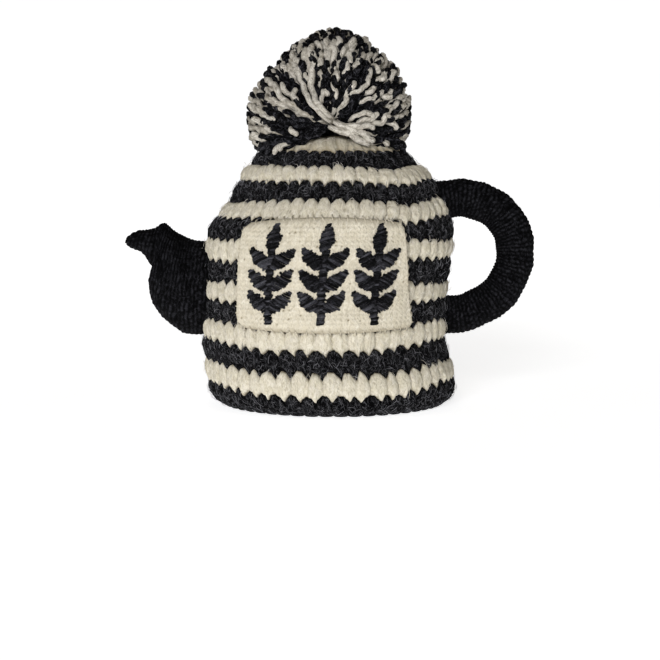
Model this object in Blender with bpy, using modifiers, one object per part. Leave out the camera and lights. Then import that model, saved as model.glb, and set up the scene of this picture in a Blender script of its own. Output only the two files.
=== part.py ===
"""A crocheted tea cosy in the shape of a teapot, resting on its hem.

It is a hollow ribbed dome with a stuffed spout and handle, a knitted panel with three embroidered
sprigs, and a pompom. Metres, +Z up: the hem lies on z = 0, the panel faces -Y, the spout points to
-X and the handle to +X."""

import math
from collections import namedtuple

import bmesh
import bpy
import numpy as np
from mathutils import Vector

# Driving dimensions

SEAT_GAP = 0.0003  # between pieces that are sewn together
AXIS_Y = 0.0016  # the panel makes the front deeper, so the dome's axis sits behind the middle
SIDES = 48  # facets round the dome
WELD = 0.000001  # points nearer than this are one point

# The cloth between two rounds of stitches draws in to a valley: its height above the hem and its
# distance from the dome's axis. The first is the bottom of the hem, the last the gathered crown.
Valley = namedtuple("Valley", "height radius")
VALLEYS = [
    Valley(0.0000, 0.0885),
    Valley(0.0145, 0.0960),
    Valley(0.0320, 0.0955),
    Valley(0.0490, 0.0946),
    Valley(0.0660, 0.0932),
    Valley(0.0830, 0.0928),
    Valley(0.1000, 0.0932),
    Valley(0.1170, 0.0938),
    Valley(0.1340, 0.0938),
    Valley(0.1490, 0.0886),
    Valley(0.1625, 0.0812),
    Valley(0.1750, 0.0758),
    Valley(0.1875, 0.0665),
    Valley(0.1995, 0.0550),
    Valley(0.2092, 0.0380),
]
CROWN_HEIGHT, CROWN_RADIUS = 0.2145, 0.0140
ROUND_BULGE = 0.0034  # how far a round of stitches stands out from its valleys
BULGE_SHARES = (0.28, 0.72)  # where on a round its full bulge starts and ends
SHOULDER_HEIGHT = 0.1400  # above it the rounds only narrow
WALL = 0.0050  # from a valley to the inner side of the cloth
HEM_INNER_RADIUS = 0.0810

# The soft dome leans: how far it has moved along +X at each height.
Lean = namedtuple("Lean", "height shift")
LEANS = [
    Lean(0.000, 0.0026),
    Lean(0.024, 0.0008),
    Lean(0.052, -0.0048),
    Lean(0.095, -0.0034),
    Lean(0.139, 0.0020),
    Lean(0.157, 0.0056),
    Lean(0.176, 0.0050),
    Lean(0.199, 0.0026),
    Lean(0.219, 0.0010),
]
SLACK = 0.0012  # how far out of round the side sags

# The spout is a stack of oval sections in the plane y = 0: the lower and upper end of each, and
# half its depth. The last ones fan round the mouth, from its peak to the lip.
Section = namedtuple("Section", "low_x low_z high_x high_z half_depth")
SPOUT = [
    Section(-0.0800, 0.0580, -0.0800, 0.1280, 0.0300),
    Section(-0.0960, 0.0552, -0.0930, 0.1290, 0.0320),
    Section(-0.1100, 0.0542, -0.1040, 0.1290, 0.0325),
    Section(-0.1195, 0.0568, -0.1106, 0.1304, 0.0315),
    Section(-0.1300, 0.0648, -0.1170, 0.1330, 0.0295),
    Section(-0.1385, 0.0752, -0.1234, 0.1370, 0.0265),
    Section(-0.1440, 0.0870, -0.1285, 0.1415, 0.0230),
    Section(-0.1440, 0.0975, -0.1316, 0.1436, 0.0200),
    Section(-0.1420, 0.1045, -0.1345, 0.1420, 0.0180),
    Section(-0.1446, 0.1120, -0.1385, 0.1390, 0.0165),
    Section(-0.1500, 0.1185, -0.1440, 0.1386, 0.0145),
    Section(-0.1560, 0.1222, -0.1500, 0.1382, 0.0120),
    Section(-0.1604, 0.1248, -0.1556, 0.1358, 0.0085),
    Section(-0.1626, 0.1278, -0.1606, 0.1324, 0.0045),
]
SPOUT_SIDES = 20

# The handle's centre line in the plane y = 0, from the shoulder round to the side.
PathPoint = namedtuple("PathPoint", "x z")
HANDLE = [
    PathPoint(0.0600, 0.1560),
    PathPoint(0.0850, 0.1608),
    PathPoint(0.1090, 0.1626),
    PathPoint(0.1372, 0.1484),
    PathPoint(0.1484, 0.1220),
    PathPoint(0.1372, 0.0900),
    PathPoint(0.1120, 0.0730),
    PathPoint(0.0860, 0.0700),
    PathPoint(0.0700, 0.0700),
]
HANDLE_RADIUS = 0.0150
HANDLE_STEPS = 4  # pieces between two points of the centre line

# The panel lies on the front of the dome. Its corners are angles from the front, with +X positive.
PANEL_BOTTOM, PANEL_TOP = 0.0640, 0.1500
PANEL_BOTTOM_BOW, PANEL_TOP_BOW = 0.0025, 0.0040  # how far those edges bow at their middle
PANEL_BOTTOM_ANGLES = (math.radians(-42.5), math.radians(41.0))
PANEL_TOP_ANGLES = (math.radians(-38.7), math.radians(33.0))
PANEL_CORNER = 0.0100
PANEL_THICK = 0.0028
PANEL_COLUMNS, PANEL_ROWS = 22, 12

# The sprigs are embroidered pads: a stem, pairs of leaves and one leaf at the top.
SPRIG_HEIGHT = 0.0750
SPRIG_BOTTOM = 0.0705
SPRIG_SPACING = math.radians(23.5)
SPRIG_MIDDLE_ANGLE = math.radians(-1.6)
SPRIG_THICK = 0.0022
SPRIG_GAP = 0.0004
STEM_WIDTH = 0.0042
LEAF_LENGTH, LEAF_WIDTH = 0.0215, 0.0094
LEAF_PAIRS = 3
FIRST_PAIR, PAIR_SPACING = 0.0099, 0.0160  # up the stem
LEAF_LIFT = math.radians(46.0)  # between a side leaf and the stem
LEAF_NECK = 0.0034  # width of a leaf where it meets the stem
LEAF_STEPS = 5
LEAF_FULLNESS = 0.8  # under 1 the leaf is broadest nearer its root
STRIP_WIDTH = 0.0050  # the pads are cut in strips this wide, to bend with the panel

# The pompom is a core with a lock of yarn on each of its facets, apart from those it sits on.
CORE_RADIUS = 0.0215
POMPOM_RADIUS = 0.0645  # at its sides and top
POMPOM_SLOPE_IN = 0.0050  # how much less it is half way up
POMPOM_DROOP = 0.0125  # how much longer the lowest locks are
LOCK_RADIUS, LOCK_TIP_RADIUS = 0.0050, 0.0036
LOCK_SWELL = 0.62  # where on its length a lock is thickest
LOCK_CLEARANCE = 0.0075  # from the end of a low lock to the dome
SHORTEST_LOCK = 0.0120
TIP_SCATTER = 0.0022
LENGTH_SCATTER = 0.0035
LENGTH_STEP = 0.0005
SEED = 7

CREAM, CHARCOAL, MIXED = "#d8ceb8", "#232327", "#8a8479"


# Finishes

def linear(hex_colour):
    """The linear red, green, blue and alpha of an sRGB colour such as #d8ceb8."""
    shares = [int(hex_colour[i : i + 2], 16) / 255 for i in (1, 3, 5)]
    return [s / 12.92 if s <= 0.04045 else ((s + 0.055) / 1.055) ** 2.4 for s in shares] + [1.0]


def yarn(name, hex_colour):
    material = bpy.data.materials.new(name)
    material.use_nodes = True
    shader = material.node_tree.nodes["Principled BSDF"]
    shader.inputs["Base Color"].default_value = linear(hex_colour)
    shader.inputs["Roughness"].default_value = 0.92
    shader.inputs["Metallic"].default_value = 0.0
    return material


# Places on the dome

def dome_lean(height):
    return float(np.interp(height, [row.height for row in LEANS], [row.shift for row in LEANS]))


def settle(point):
    """Where a point of a true round dome about the Z axis goes in the leaning, slack one."""
    angle = math.atan2(point[1], point[0])
    rise = min(max(point[2] / CROWN_HEIGHT, 0.0), 1.0)
    slack = SLACK * math.sin(2 * angle + 0.9) * math.sin(math.pi * rise)
    radius = math.hypot(point[0], point[1])
    reach = 1 + slack * min(radius / VALLEYS[0].radius, 1.0) / max(radius, WELD)
    return Vector((point[0] * reach + dome_lean(point[2]), point[1] * reach + AXIS_Y, point[2]))


def round_point(row, share, out):
    """(radius, height) at this share of the way up a round, pushed out square to the cloth."""
    low, high = VALLEYS[row], VALLEYS[row + 1]
    across, up = high.radius - low.radius, high.height - low.height
    length = math.hypot(across, up)
    return (
        low.radius + share * across + out * up / length,
        low.height + share * up - out * across / length,
    )


ROUNDS = len(VALLEYS) - 1
CRESTS = [round_point(row, share, ROUND_BULGE) for row in range(ROUNDS) for share in BULGE_SHARES]


def crest_radius(height):
    """The smooth line over the rounds' crests: a cubic through them, with its slope."""
    heights = np.array([crest[1] for crest in CRESTS])
    radii = np.array([crest[0] for crest in CRESTS])
    slopes = np.gradient(radii, heights)
    i = int(np.clip(np.searchsorted(heights, height) - 1, 0, len(heights) - 2))
    span = heights[i + 1] - heights[i]
    t = (height - heights[i]) / span
    radius = (
        (1 + 2 * t) * (1 - t) ** 2 * radii[i]
        + t * (1 - t) ** 2 * span * slopes[i]
        + t * t * (3 - 2 * t) * radii[i + 1]
        - t * t * (1 - t) * span * slopes[i + 1]
    )
    return radius, float(np.interp(height, heights, slopes))


PANEL_RADIUS = crest_radius((PANEL_BOTTOM + PANEL_TOP) / 2)[0]


def on_dome(angle, height, out):
    """The point this far out from the rounds' crests, at an angle from the front."""
    radius, slope = crest_radius(height)
    reach = radius + out * math.hypot(1.0, slope)
    return settle((reach * math.sin(angle), -reach * math.cos(angle), height))


# Tools

def new_object(name, mesh, collection, material=None):
    obj = bpy.data.objects.new(name, mesh)
    collection.objects.link(obj)
    if material:
        mesh.materials.append(material)
    return obj


def mesh_from(name, points, faces):
    mesh = bpy.data.meshes.new(name)
    mesh.from_pydata(points, [], faces)
    mesh.update()
    return mesh


def baked(obj):
    """A mesh of the object as its modifiers leave it, with loose caps welded. The object goes."""
    graph = bpy.context.evaluated_depsgraph_get()
    mesh = bpy.data.meshes.new_from_object(obj.evaluated_get(graph))
    bpy.data.objects.remove(obj)
    cage = bmesh.new()
    cage.from_mesh(mesh)
    bmesh.ops.remove_doubles(cage, verts=cage.verts, dist=WELD)
    cage.to_mesh(mesh)
    cage.free()
    return mesh


def turned(name, profile, collection):
    """A mesh of a profile of (radius, height) points turned about Z, then settled."""
    points = [(radius, 0.0, height) for radius, height in profile]
    line = bpy.data.meshes.new(name + "_profile")
    line.from_pydata(points, [(i, i + 1) for i in range(len(points) - 1)], [])
    guide = new_object(name + "_profile", line, collection)
    screw = guide.modifiers.new("turn", "SCREW")
    screw.steps = screw.render_steps = SIDES
    screw.use_merge_vertices = True
    screw.merge_threshold = WELD
    mesh = baked(guide)
    for vertex in mesh.vertices:
        vertex.co = settle(vertex.co)
    return mesh


def seat_on_dome(obj, cutter):
    """Cuts away what reaches into the dome, so that the piece ends on the rounds' crests."""
    cut = obj.modifiers.new("seat", "BOOLEAN")
    cut.operation = "DIFFERENCE"
    cut.solver = "EXACT"
    cut.object = cutter


def smooth(obj, angle):
    obj.data.shade_smooth()
    obj.data.set_sharp_from_angle(angle=math.radians(angle))


# The dome

def body_profile():
    """Down the ribbed outer side from the crown, across the hem, up the plain inner side."""
    outer = [(0.0, CROWN_HEIGHT), (CROWN_RADIUS, CROWN_HEIGHT)]
    for row in reversed(range(ROUNDS)):
        high = VALLEYS[row + 1]
        outer.append((high.radius, high.height))
        outer += [round_point(row, share, ROUND_BULGE) for share in reversed(BULGE_SHARES)]
    outer.append((VALLEYS[0].radius, 0.0))
    inner = [(HEM_INNER_RADIUS, 0.0)]
    inner += [round_point(row, 0.0, -WALL) for row in range(1, ROUNDS, 2)]
    return outer + inner + [(0.0, CROWN_HEIGHT - WALL)]


def make_body(collection):
    mesh = turned("body", body_profile(), collection)
    body = new_object("body", mesh, collection)
    mesh.materials.append(yarn("charcoal_chunky_yarn", CHARCOAL))
    mesh.materials.append(yarn("cream_chunky_yarn", CREAM))
    heights = [row.height for row in VALLEYS]
    for face in mesh.polygons:
        face.material_index = (int(np.searchsorted(heights, face.center.z)) - 1) % 2
    smooth(body, 30)
    return body


def make_cutter(collection):
    """The solid inside the rounds' crests, a gap larger, that pieces sewn to the dome sit on."""
    side = [
        round_point(row, share, ROUND_BULGE + SEAT_GAP)
        for row in reversed(range(ROUNDS))
        for share in reversed(BULGE_SHARES)
    ]
    profile = [(0.0, side[0][1])] + side + [(side[-1][0], 0.0), (0.0, 0.0)]
    cutter = new_object("dome_cutter", turned("dome_cutter", profile, collection), collection)
    cutter.hide_render = True
    cutter.display_type = "WIRE"
    return cutter


# The spout

def make_spout(collection, cutter):
    """A loft of ovals. Each lies in the plane of its own two ends and the Y axis."""
    points, faces = [], []
    for row in SPOUT:
        low, high = Vector((row.low_x, 0, row.low_z)), Vector((row.high_x, 0, row.high_z))
        middle, half = (low + high) / 2, (high - low) / 2
        for side in range(SPOUT_SIDES):
            turn = math.tau * side / SPOUT_SIDES
            depth = Vector((0, row.half_depth * math.sin(turn), 0))
            points.append(middle + half * math.cos(turn) + depth)
    for ring in range(len(SPOUT) - 1):
        for side in range(SPOUT_SIDES):
            a, b = ring * SPOUT_SIDES + side, ring * SPOUT_SIDES + (side + 1) % SPOUT_SIDES
            faces.append((a, a + SPOUT_SIDES, b + SPOUT_SIDES, b))
    faces.append(tuple(range(SPOUT_SIDES)))
    faces.append(tuple(reversed(range(len(points) - SPOUT_SIDES, len(points)))))
    for point in points:
        point.y += AXIS_Y
    mesh = mesh_from("spout", points, faces)
    spout = new_object("spout", mesh, collection, yarn("charcoal_spout_yarn", CHARCOAL))
    cage = bmesh.new()
    cage.from_mesh(mesh)
    bmesh.ops.recalc_face_normals(cage, faces=cage.faces)
    cage.to_mesh(mesh)
    cage.free()
    seat_on_dome(spout, cutter)
    smooth(spout, 50)
    return spout


# The handle

def smooth_path(rows, steps):
    """Points on a Catmull-Rom curve through the rows from the second to the last but one."""
    knots = [Vector((row.x, AXIS_Y, row.z)) for row in rows]
    points = []
    for before, start, end, after in zip(knots, knots[1:], knots[2:], knots[3:]):
        for step in range(steps):
            t = step / steps
            points.append(
                0.5 * (2 * start + (end - before) * t
                       + (2 * before - 5 * start + 4 * end - after) * t**2
                       + (3 * start - before - 3 * end + after) * t**3)
            )
    return points + [knots[-2]]


def make_handle(collection, cutter):
    route = smooth_path(HANDLE, HANDLE_STEPS)
    curve = bpy.data.curves.new("handle", "CURVE")
    curve.dimensions = "3D"
    curve.bevel_depth = HANDLE_RADIUS
    curve.bevel_resolution = 5
    curve.use_fill_caps = True
    spline = curve.splines.new("POLY")
    spline.points.add(len(route) - 1)
    for point, place in zip(spline.points, route):
        point.co = (*place, 1.0)
    guide = bpy.data.objects.new("handle_guide", curve)
    collection.objects.link(guide)
    handle = new_object("handle", baked(guide), collection, yarn("charcoal_handle_yarn", CHARCOAL))
    seat_on_dome(handle, cutter)
    smooth(handle, 50)
    return handle


# The panel

def panel_edge(height_share, across):
    """(angle, height) of a place on the panel, given as shares from -1 to 1 up and across.

    Near its top and bottom each row is shorter, by the depth of the round corner there."""
    middle = (PANEL_TOP + PANEL_BOTTOM) / 2
    half = (PANEL_TOP - PANEL_BOTTOM) / 2
    from_edge = (1 - abs(height_share)) * half
    short = 0.0
    if from_edge < PANEL_CORNER:
        short = PANEL_CORNER - math.sqrt(PANEL_CORNER**2 - (PANEL_CORNER - from_edge) ** 2)
    up = (1 + height_share) / 2
    left = np.interp(up, (0, 1), (PANEL_BOTTOM_ANGLES[0], PANEL_TOP_ANGLES[0]))
    right = np.interp(up, (0, 1), (PANEL_BOTTOM_ANGLES[1], PANEL_TOP_ANGLES[1]))
    trim = short / PANEL_RADIUS
    angle = np.interp(across, (-1, 1), (left + trim, right - trim))
    bow = PANEL_TOP_BOW if height_share > 0 else PANEL_BOTTOM_BOW
    height = middle + height_share * (half - bow * across**2)
    return float(angle), float(height)


def make_panel(collection):
    """A sheet over the crests, thickened outwards. Its rows lie closer together at the corners."""
    points, faces = [], []
    for row in range(PANEL_ROWS + 1):
        height_share = math.sin(math.pi / 2 * (2 * row / PANEL_ROWS - 1))
        for column in range(PANEL_COLUMNS + 1):
            angle, height = panel_edge(height_share, 2 * column / PANEL_COLUMNS - 1)
            points.append(on_dome(angle, height, SEAT_GAP))
    across = PANEL_COLUMNS + 1
    for row in range(PANEL_ROWS):
        for column in range(PANEL_COLUMNS):
            a = row * across + column
            faces.append((a, a + 1, a + 1 + across, a + across))
    mesh = mesh_from("panel", points, faces)
    panel = new_object("panel", mesh, collection, yarn("cream_fine_knit", CREAM))
    thick = panel.modifiers.new("thickness", "SOLIDIFY")
    thick.thickness = PANEL_THICK
    thick.offset = 1.0
    smooth(panel, 40)
    return panel


# The sprigs

def leaf_edge(root, along, side):
    """Points from a leaf's root to its tip on one side: the width is a sine with a sharp tip."""
    square = Vector((-along.y, along.x)) * side
    points = []
    for step in range(LEAF_STEPS):
        t = step / LEAF_STEPS
        belly = math.sin(math.pi * t**LEAF_FULLNESS) * LEAF_WIDTH / 2
        points.append(root + along * LEAF_LENGTH * t + square * max(belly, LEAF_NECK / 2 * (1 - t)))
    return points


def sprig_outline():
    """One closed outline in (across, up), from the stem's foot up the right side and back down."""
    right = [Vector((STEM_WIDTH / 2, 0.0))]
    direction = Vector((math.sin(LEAF_LIFT), math.cos(LEAF_LIFT)))
    for pair in range(LEAF_PAIRS):
        root = Vector((STEM_WIDTH / 2, FIRST_PAIR + pair * PAIR_SPACING))
        right += leaf_edge(root, direction, -1)
        right.append(root + direction * LEAF_LENGTH)
        right += reversed(leaf_edge(root, direction, 1))
    top = Vector((0.0, SPRIG_HEIGHT - LEAF_LENGTH))
    right += leaf_edge(top, Vector((0.0, 1.0)), -1)
    left = [Vector((-point.x, point.y)) for point in reversed(right)]
    return right + [Vector((0.0, SPRIG_HEIGHT))] + left


def make_sprig(name, middle_angle, collection, material):
    """The outline as a thick pad, cut in strips across and up so that it bends with the panel."""
    cage = bmesh.new()
    base = [cage.verts.new((point.x, 0.0, point.y)) for point in sprig_outline()]
    face = cage.faces.new(base)
    raised = bmesh.ops.extrude_face_region(cage, geom=[face])["geom"]
    for vertex in [item for item in raised if isinstance(item, bmesh.types.BMVert)]:
        vertex.co.y = SPRIG_THICK
    reach = LEAF_LENGTH + STEM_WIDTH
    cuts = [(Vector((x, 0, 0)), Vector((1, 0, 0))) for x in np.arange(-reach, reach, STRIP_WIDTH)]
    cuts += [(Vector((0, 0, z)), Vector((0, 0, 1)))
             for z in np.arange(STRIP_WIDTH, SPRIG_HEIGHT, 2 * STRIP_WIDTH)]
    for place, normal in cuts:
        everything = cage.verts[:] + cage.edges[:] + cage.faces[:]
        bmesh.ops.bisect_plane(cage, geom=everything, dist=WELD, plane_co=place, plane_no=normal)
    for vertex in cage.verts:
        across, out, up = vertex.co
        angle = middle_angle + across / PANEL_RADIUS
        vertex.co = on_dome(angle, SPRIG_BOTTOM + up, SEAT_GAP + PANEL_THICK + SPRIG_GAP + out)
    bmesh.ops.triangulate(cage, faces=cage.faces)
    bmesh.ops.recalc_face_normals(cage, faces=cage.faces)
    mesh = bpy.data.meshes.new(name)
    cage.to_mesh(mesh)
    cage.free()
    return new_object(name, mesh, collection, material)


# The pompom

def dome_top(radius):
    """Height of the dome's upper side at this distance from the axis."""
    upper = [place for place in CRESTS if place[1] > SHOULDER_HEIGHT]
    upper.append((CROWN_RADIUS, CROWN_HEIGHT))
    return np.interp(-radius, [-place[0] for place in upper], [place[1] for place in upper])


def lock_length(core, direction):
    """The longest that a lock can be in this direction, inside the ball and clear of the dome."""
    if direction.z > 0:
        ball = POMPOM_RADIUS - POMPOM_SLOPE_IN * math.sin(2 * math.asin(direction.z)) ** 2
    else:
        ball = POMPOM_RADIUS - POMPOM_DROOP * direction.z
    for length in np.arange(ball, CORE_RADIUS, -LENGTH_STEP):
        end = core + direction * length
        radius = math.hypot(end.x, end.y)
        if end.z > dome_top(radius) + LOCK_CLEARANCE:
            return length
    return 0.0


def make_pompom(collection):
    """A faceted core. Each facet is drawn out twice, to the lock's thickest place and its end."""
    rng = np.random.default_rng(SEED)
    core = Vector((0.0, 0.0, CROWN_HEIGHT + SEAT_GAP + CORE_RADIUS))
    cage = bmesh.new()
    bmesh.ops.create_icosphere(cage, subdivisions=3, radius=CORE_RADIUS)
    bmesh.ops.translate(cage, verts=cage.verts, vec=core)
    locks = []
    for face in cage.faces[:]:
        direction = (face.calc_center_median() - core).normalized()
        length = lock_length(core, direction)
        scatter = Vector(rng.uniform(-1, 1, 3)) * TIP_SCATTER
        length -= rng.uniform(0, LENGTH_SCATTER)
        if length > CORE_RADIUS + SHORTEST_LOCK:
            locks.append((face, direction, length, scatter))
    faces = [lock[0] for lock in locks]
    for share, radius in ((LOCK_SWELL, LOCK_RADIUS), (1.0, LOCK_TIP_RADIUS)):
        drawn = bmesh.ops.extrude_discrete_faces(cage, faces=faces)["faces"]
        for face, (_, direction, length, scatter) in zip(drawn, locks):
            middle = face.calc_center_median()
            reach = CORE_RADIUS + share * (length - CORE_RADIUS)
            place = core + direction * reach + scatter * share
            spread = radius / max((vertex.co - middle).length for vertex in face.verts)
            for vertex in face.verts:
                vertex.co = place + (vertex.co - middle) * spread
        faces = drawn
    lean = Vector((dome_lean(core.z), AXIS_Y, 0.0))
    bmesh.ops.translate(cage, verts=cage.verts, vec=lean)
    mesh = bpy.data.meshes.new("pompom")
    cage.to_mesh(mesh)
    cage.free()
    return new_object("pompom", mesh, collection, yarn("mixed_pompom_yarn", MIXED))


# Assembly

def new_collection(name):
    collection = bpy.data.collections.new(name)
    bpy.context.scene.collection.children.link(collection)
    return collection


for old in list(bpy.data.objects):
    bpy.data.objects.remove(old)

parts = new_collection("tea_cosy")
cutters = new_collection("cutters")
make_body(parts)
dome_cutter = make_cutter(cutters)
make_spout(parts, dome_cutter)
make_handle(parts, dome_cutter)
make_panel(parts)
satin = yarn("charcoal_satin_stitch", CHARCOAL)
for step, side in enumerate(("left", "middle", "right")):
    make_sprig("sprig_" + side, SPRIG_MIDDLE_ANGLE + (step - 1) * SPRIG_SPACING, parts, satin)
make_pompom(parts)
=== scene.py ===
"""A crocheted tea cosy in the shape of a teapot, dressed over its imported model.

It is built up as its maker would: the hollow dome in rounds of puff stitches with their stray
fibres and the cloth behind them, the stuffed spout and handle, the pompom, and the knitted panel
with its seam and three embroidered sprigs. Metres, +Z up, the hem on z = 0, the panel towards -Y."""

import math

import bpy
import numpy as np
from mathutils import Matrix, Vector


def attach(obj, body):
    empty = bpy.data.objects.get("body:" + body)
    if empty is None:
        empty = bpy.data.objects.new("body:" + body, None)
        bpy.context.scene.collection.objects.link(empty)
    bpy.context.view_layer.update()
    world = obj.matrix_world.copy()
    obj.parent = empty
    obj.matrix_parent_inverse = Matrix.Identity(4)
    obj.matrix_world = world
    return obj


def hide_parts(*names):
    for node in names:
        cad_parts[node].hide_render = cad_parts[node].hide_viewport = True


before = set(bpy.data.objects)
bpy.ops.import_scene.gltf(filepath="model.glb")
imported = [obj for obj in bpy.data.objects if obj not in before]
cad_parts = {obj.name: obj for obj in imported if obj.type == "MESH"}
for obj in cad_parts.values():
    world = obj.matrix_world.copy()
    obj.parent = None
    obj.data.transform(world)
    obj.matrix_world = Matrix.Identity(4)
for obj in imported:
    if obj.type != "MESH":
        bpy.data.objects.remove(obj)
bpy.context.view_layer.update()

# The studio: a pale floor and backdrop, one broad soft light from the front, a weak cool one from
# the left, a warm one behind, and a camera a little above the cosy, square to its panel.

AXIS_Y = 0.0016  # the dome's axis
CAMERA_PLACE = Vector((0.0, AXIS_Y - 1.32, 0.184))
CAMERA_AIM = Vector((0.0, AXIS_Y, 0.0576))
VIEW_WIDTH = 0.528  # what the frame takes in at the dome's axis
FLOOR_RINGS = (0.02, 0.3, 0.8, 2.0, 7.0)
FLOOR_COLUMNS = 96
BACKDROP_RADIUS = 6.86
BACKDROP_ROWS, BACKDROP_COLUMNS = 24, 64
PALE_FLOOR, WHITE_PAPER = "#f0f2f5", "#ffffff"
LIGHTS = {  # strength, spread, height and angle from the front in degrees, and colour
    "front_light": (0.75, 22, 12, -13, "#fdfdff"),
    "left_light": (0.02, 50, 12, -75, "#d4e2ff"),
    "back_light": (0.06, 60, 40, 178, "#fffaf2"),
}
ROOM_LIGHT, ROOM_COLOUR = 0.03, "#ffe9c8"


def linear(hex_colour):
    """The linear red, green, blue and alpha of an sRGB colour such as #d8ceb8."""
    shares = [int(hex_colour[i : i + 2], 16) / 255 for i in (1, 3, 5)]
    return [s / 12.92 if s <= 0.04045 else ((s + 0.055) / 1.055) ** 2.4 for s in shares] + [1.0]


def add_node(tree, kind, inputs=None, **settings):
    """A shader node with its settings; each input is a value or the output that feeds it."""
    made = tree.nodes.new("ShaderNode" + kind)
    for name, value in settings.items():
        setattr(made, name, value)
    for key, value in (inputs or {}).items():
        if isinstance(value, bpy.types.NodeSocket):
            tree.links.new(value, made.inputs[key])
        else:
            made.inputs[key].default_value = value
    return made


def new_material(name, roughness, base=None, **sockets):
    """A material, its node tree and its principled shader, with constants set on the shader."""
    material = bpy.data.materials.new(name)
    material.use_nodes = True
    tree = material.node_tree
    shader = tree.nodes["Principled BSDF"]
    shader.inputs["Roughness"].default_value = roughness
    if base:
        shader.inputs["Base Color"].default_value = linear(base)
    for socket, value in sockets.items():
        shader.inputs[socket.replace("_", " ")].default_value = value
    return material, tree, shader


def put_in_scene(name, mesh, material):
    """The mesh with its material as an object of the scene, at the origin."""
    mesh.materials.append(material)
    piece = bpy.data.objects.new(name, mesh)
    bpy.context.scene.collection.objects.link(piece)
    return piece


def quads_mesh(name, points, corners, uv=None, layers=None):
    """A smooth mesh from arrays: points (n, 3), corners (faces, 4), uv (faces, 4, 2), and layers
    of one value a point. A face whose first two corners are the same is a triangle."""
    same = corners[:, 0] == corners[:, 1]
    keep = np.ones(corners.shape, bool)
    keep[same, 0] = False
    totals = keep.sum(axis=1)
    mesh = bpy.data.meshes.new(name)
    mesh.vertices.add(len(points))
    mesh.vertices.foreach_set("co", np.ascontiguousarray(points, np.float32).ravel())
    mesh.loops.add(int(totals.sum()))
    mesh.loops.foreach_set("vertex_index", corners[keep].astype(np.int32))
    mesh.polygons.add(len(corners))
    starts = np.concatenate([[0], np.cumsum(totals)[:-1]])
    mesh.polygons.foreach_set("loop_start", starts.astype(np.int32))
    mesh.polygons.foreach_set("loop_total", totals.astype(np.int32))
    mesh.polygons.foreach_set("use_smooth", np.ones(len(corners), bool))
    if uv is not None:
        layer = mesh.uv_layers.new(name="cloth")
        layer.data.foreach_set("uv", uv[keep].astype(np.float32).ravel())
    for key, values in (layers or {}).items():
        attribute = mesh.attributes.new(key, "FLOAT", "POINT")
        attribute.data.foreach_set("value", np.asarray(values, np.float32).ravel())
    mesh.update(calc_edges=True)
    return mesh


def grid_corners(rows, columns, wrap_rows, wrap_columns, first=0):
    """The corners of each cell of a grid of points, row by row, anticlockwise from outside."""
    i = np.arange(rows if wrap_rows else rows - 1)[:, None]
    j = np.arange(columns if wrap_columns else columns - 1)[None, :]
    up, on = (i + 1) % rows, (j + 1) % columns
    cells = [i * columns + j, i * columns + on, up * columns + on, up * columns + j]
    return first + np.stack([np.broadcast_to(c, np.broadcast(i, j).shape) for c in cells], -1).reshape(-1, 4)


def fan(middle, edge, facing=1):
    """Triangles from one point to each step of a closed edge; facing -1 turns them over."""
    return np.stack([np.full(len(edge), middle)] * 2 + [edge, np.roll(edge, -1)][::facing], -1)


def ball_grid(climb, columns):
    """A grid over a ball of radius 1: (cos climb cos turn, cos climb sin turn, sin climb)."""
    turn = np.linspace(0, math.tau, columns, endpoint=False)
    level, height = np.cos(climb)[:, None], np.sin(climb)[:, None]
    return np.stack([level * np.cos(turn), level * np.sin(turn), height * np.ones(columns)], -1)


# Matt white acrylic, lit from within by a painted glow that is dimmer near the cosy and brighter
# towards its edge, so that its edge can't be told from the backdrop.
turns = np.linspace(0, math.tau, FLOOR_COLUMNS, endpoint=False)
floor_points = np.zeros((len(FLOOR_RINGS), FLOOR_COLUMNS, 3))
floor_points[..., 0] = np.outer(FLOOR_RINGS, np.cos(turns))
floor_points[..., 1] = np.outer(FLOOR_RINGS, np.sin(turns))
floor_mesh = quads_mesh("floor", np.vstack([floor_points.reshape(-1, 3), np.zeros((1, 3))]), np.vstack([
    grid_corners(len(FLOOR_RINGS), FLOOR_COLUMNS, False, True)[:, ::-1],
    fan(len(FLOOR_RINGS) * FLOOR_COLUMNS, np.arange(FLOOR_COLUMNS)),
]))
floor_finish, floor_tree, floor_shader = new_material(
    "matt_white_acrylic_floor", 0.75, PALE_FLOOR, Emission_Strength=1.0
)
floor_place = add_node(floor_tree, "TexCoord")
floor_way = add_node(floor_tree, "VectorMath", {0: floor_place.outputs["Object"]}, operation="LENGTH")
floor_glow = add_node(
    floor_tree, "MapRange",
    {"Value": floor_way.outputs["Value"], "From Min": 0.1, "From Max": 1.4, "To Min": 0.80, "To Max": 0.95},
    interpolation_type="SMOOTHSTEP",
)
floor_tree.links.new(floor_glow.outputs[0], floor_shader.inputs["Emission Color"])
floor_grain = add_node(floor_tree, "TexNoise", {"Scale": 240.0, "Detail": 2.0})
floor_bump = add_node(
    floor_tree, "Bump", {"Strength": 0.03, "Distance": 0.0004, "Height": floor_grain.outputs[0]}
)
floor_tree.links.new(floor_bump.outputs[0], floor_shader.inputs["Normal"])
floor = put_in_scene("floor", floor_mesh, floor_finish)

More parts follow.
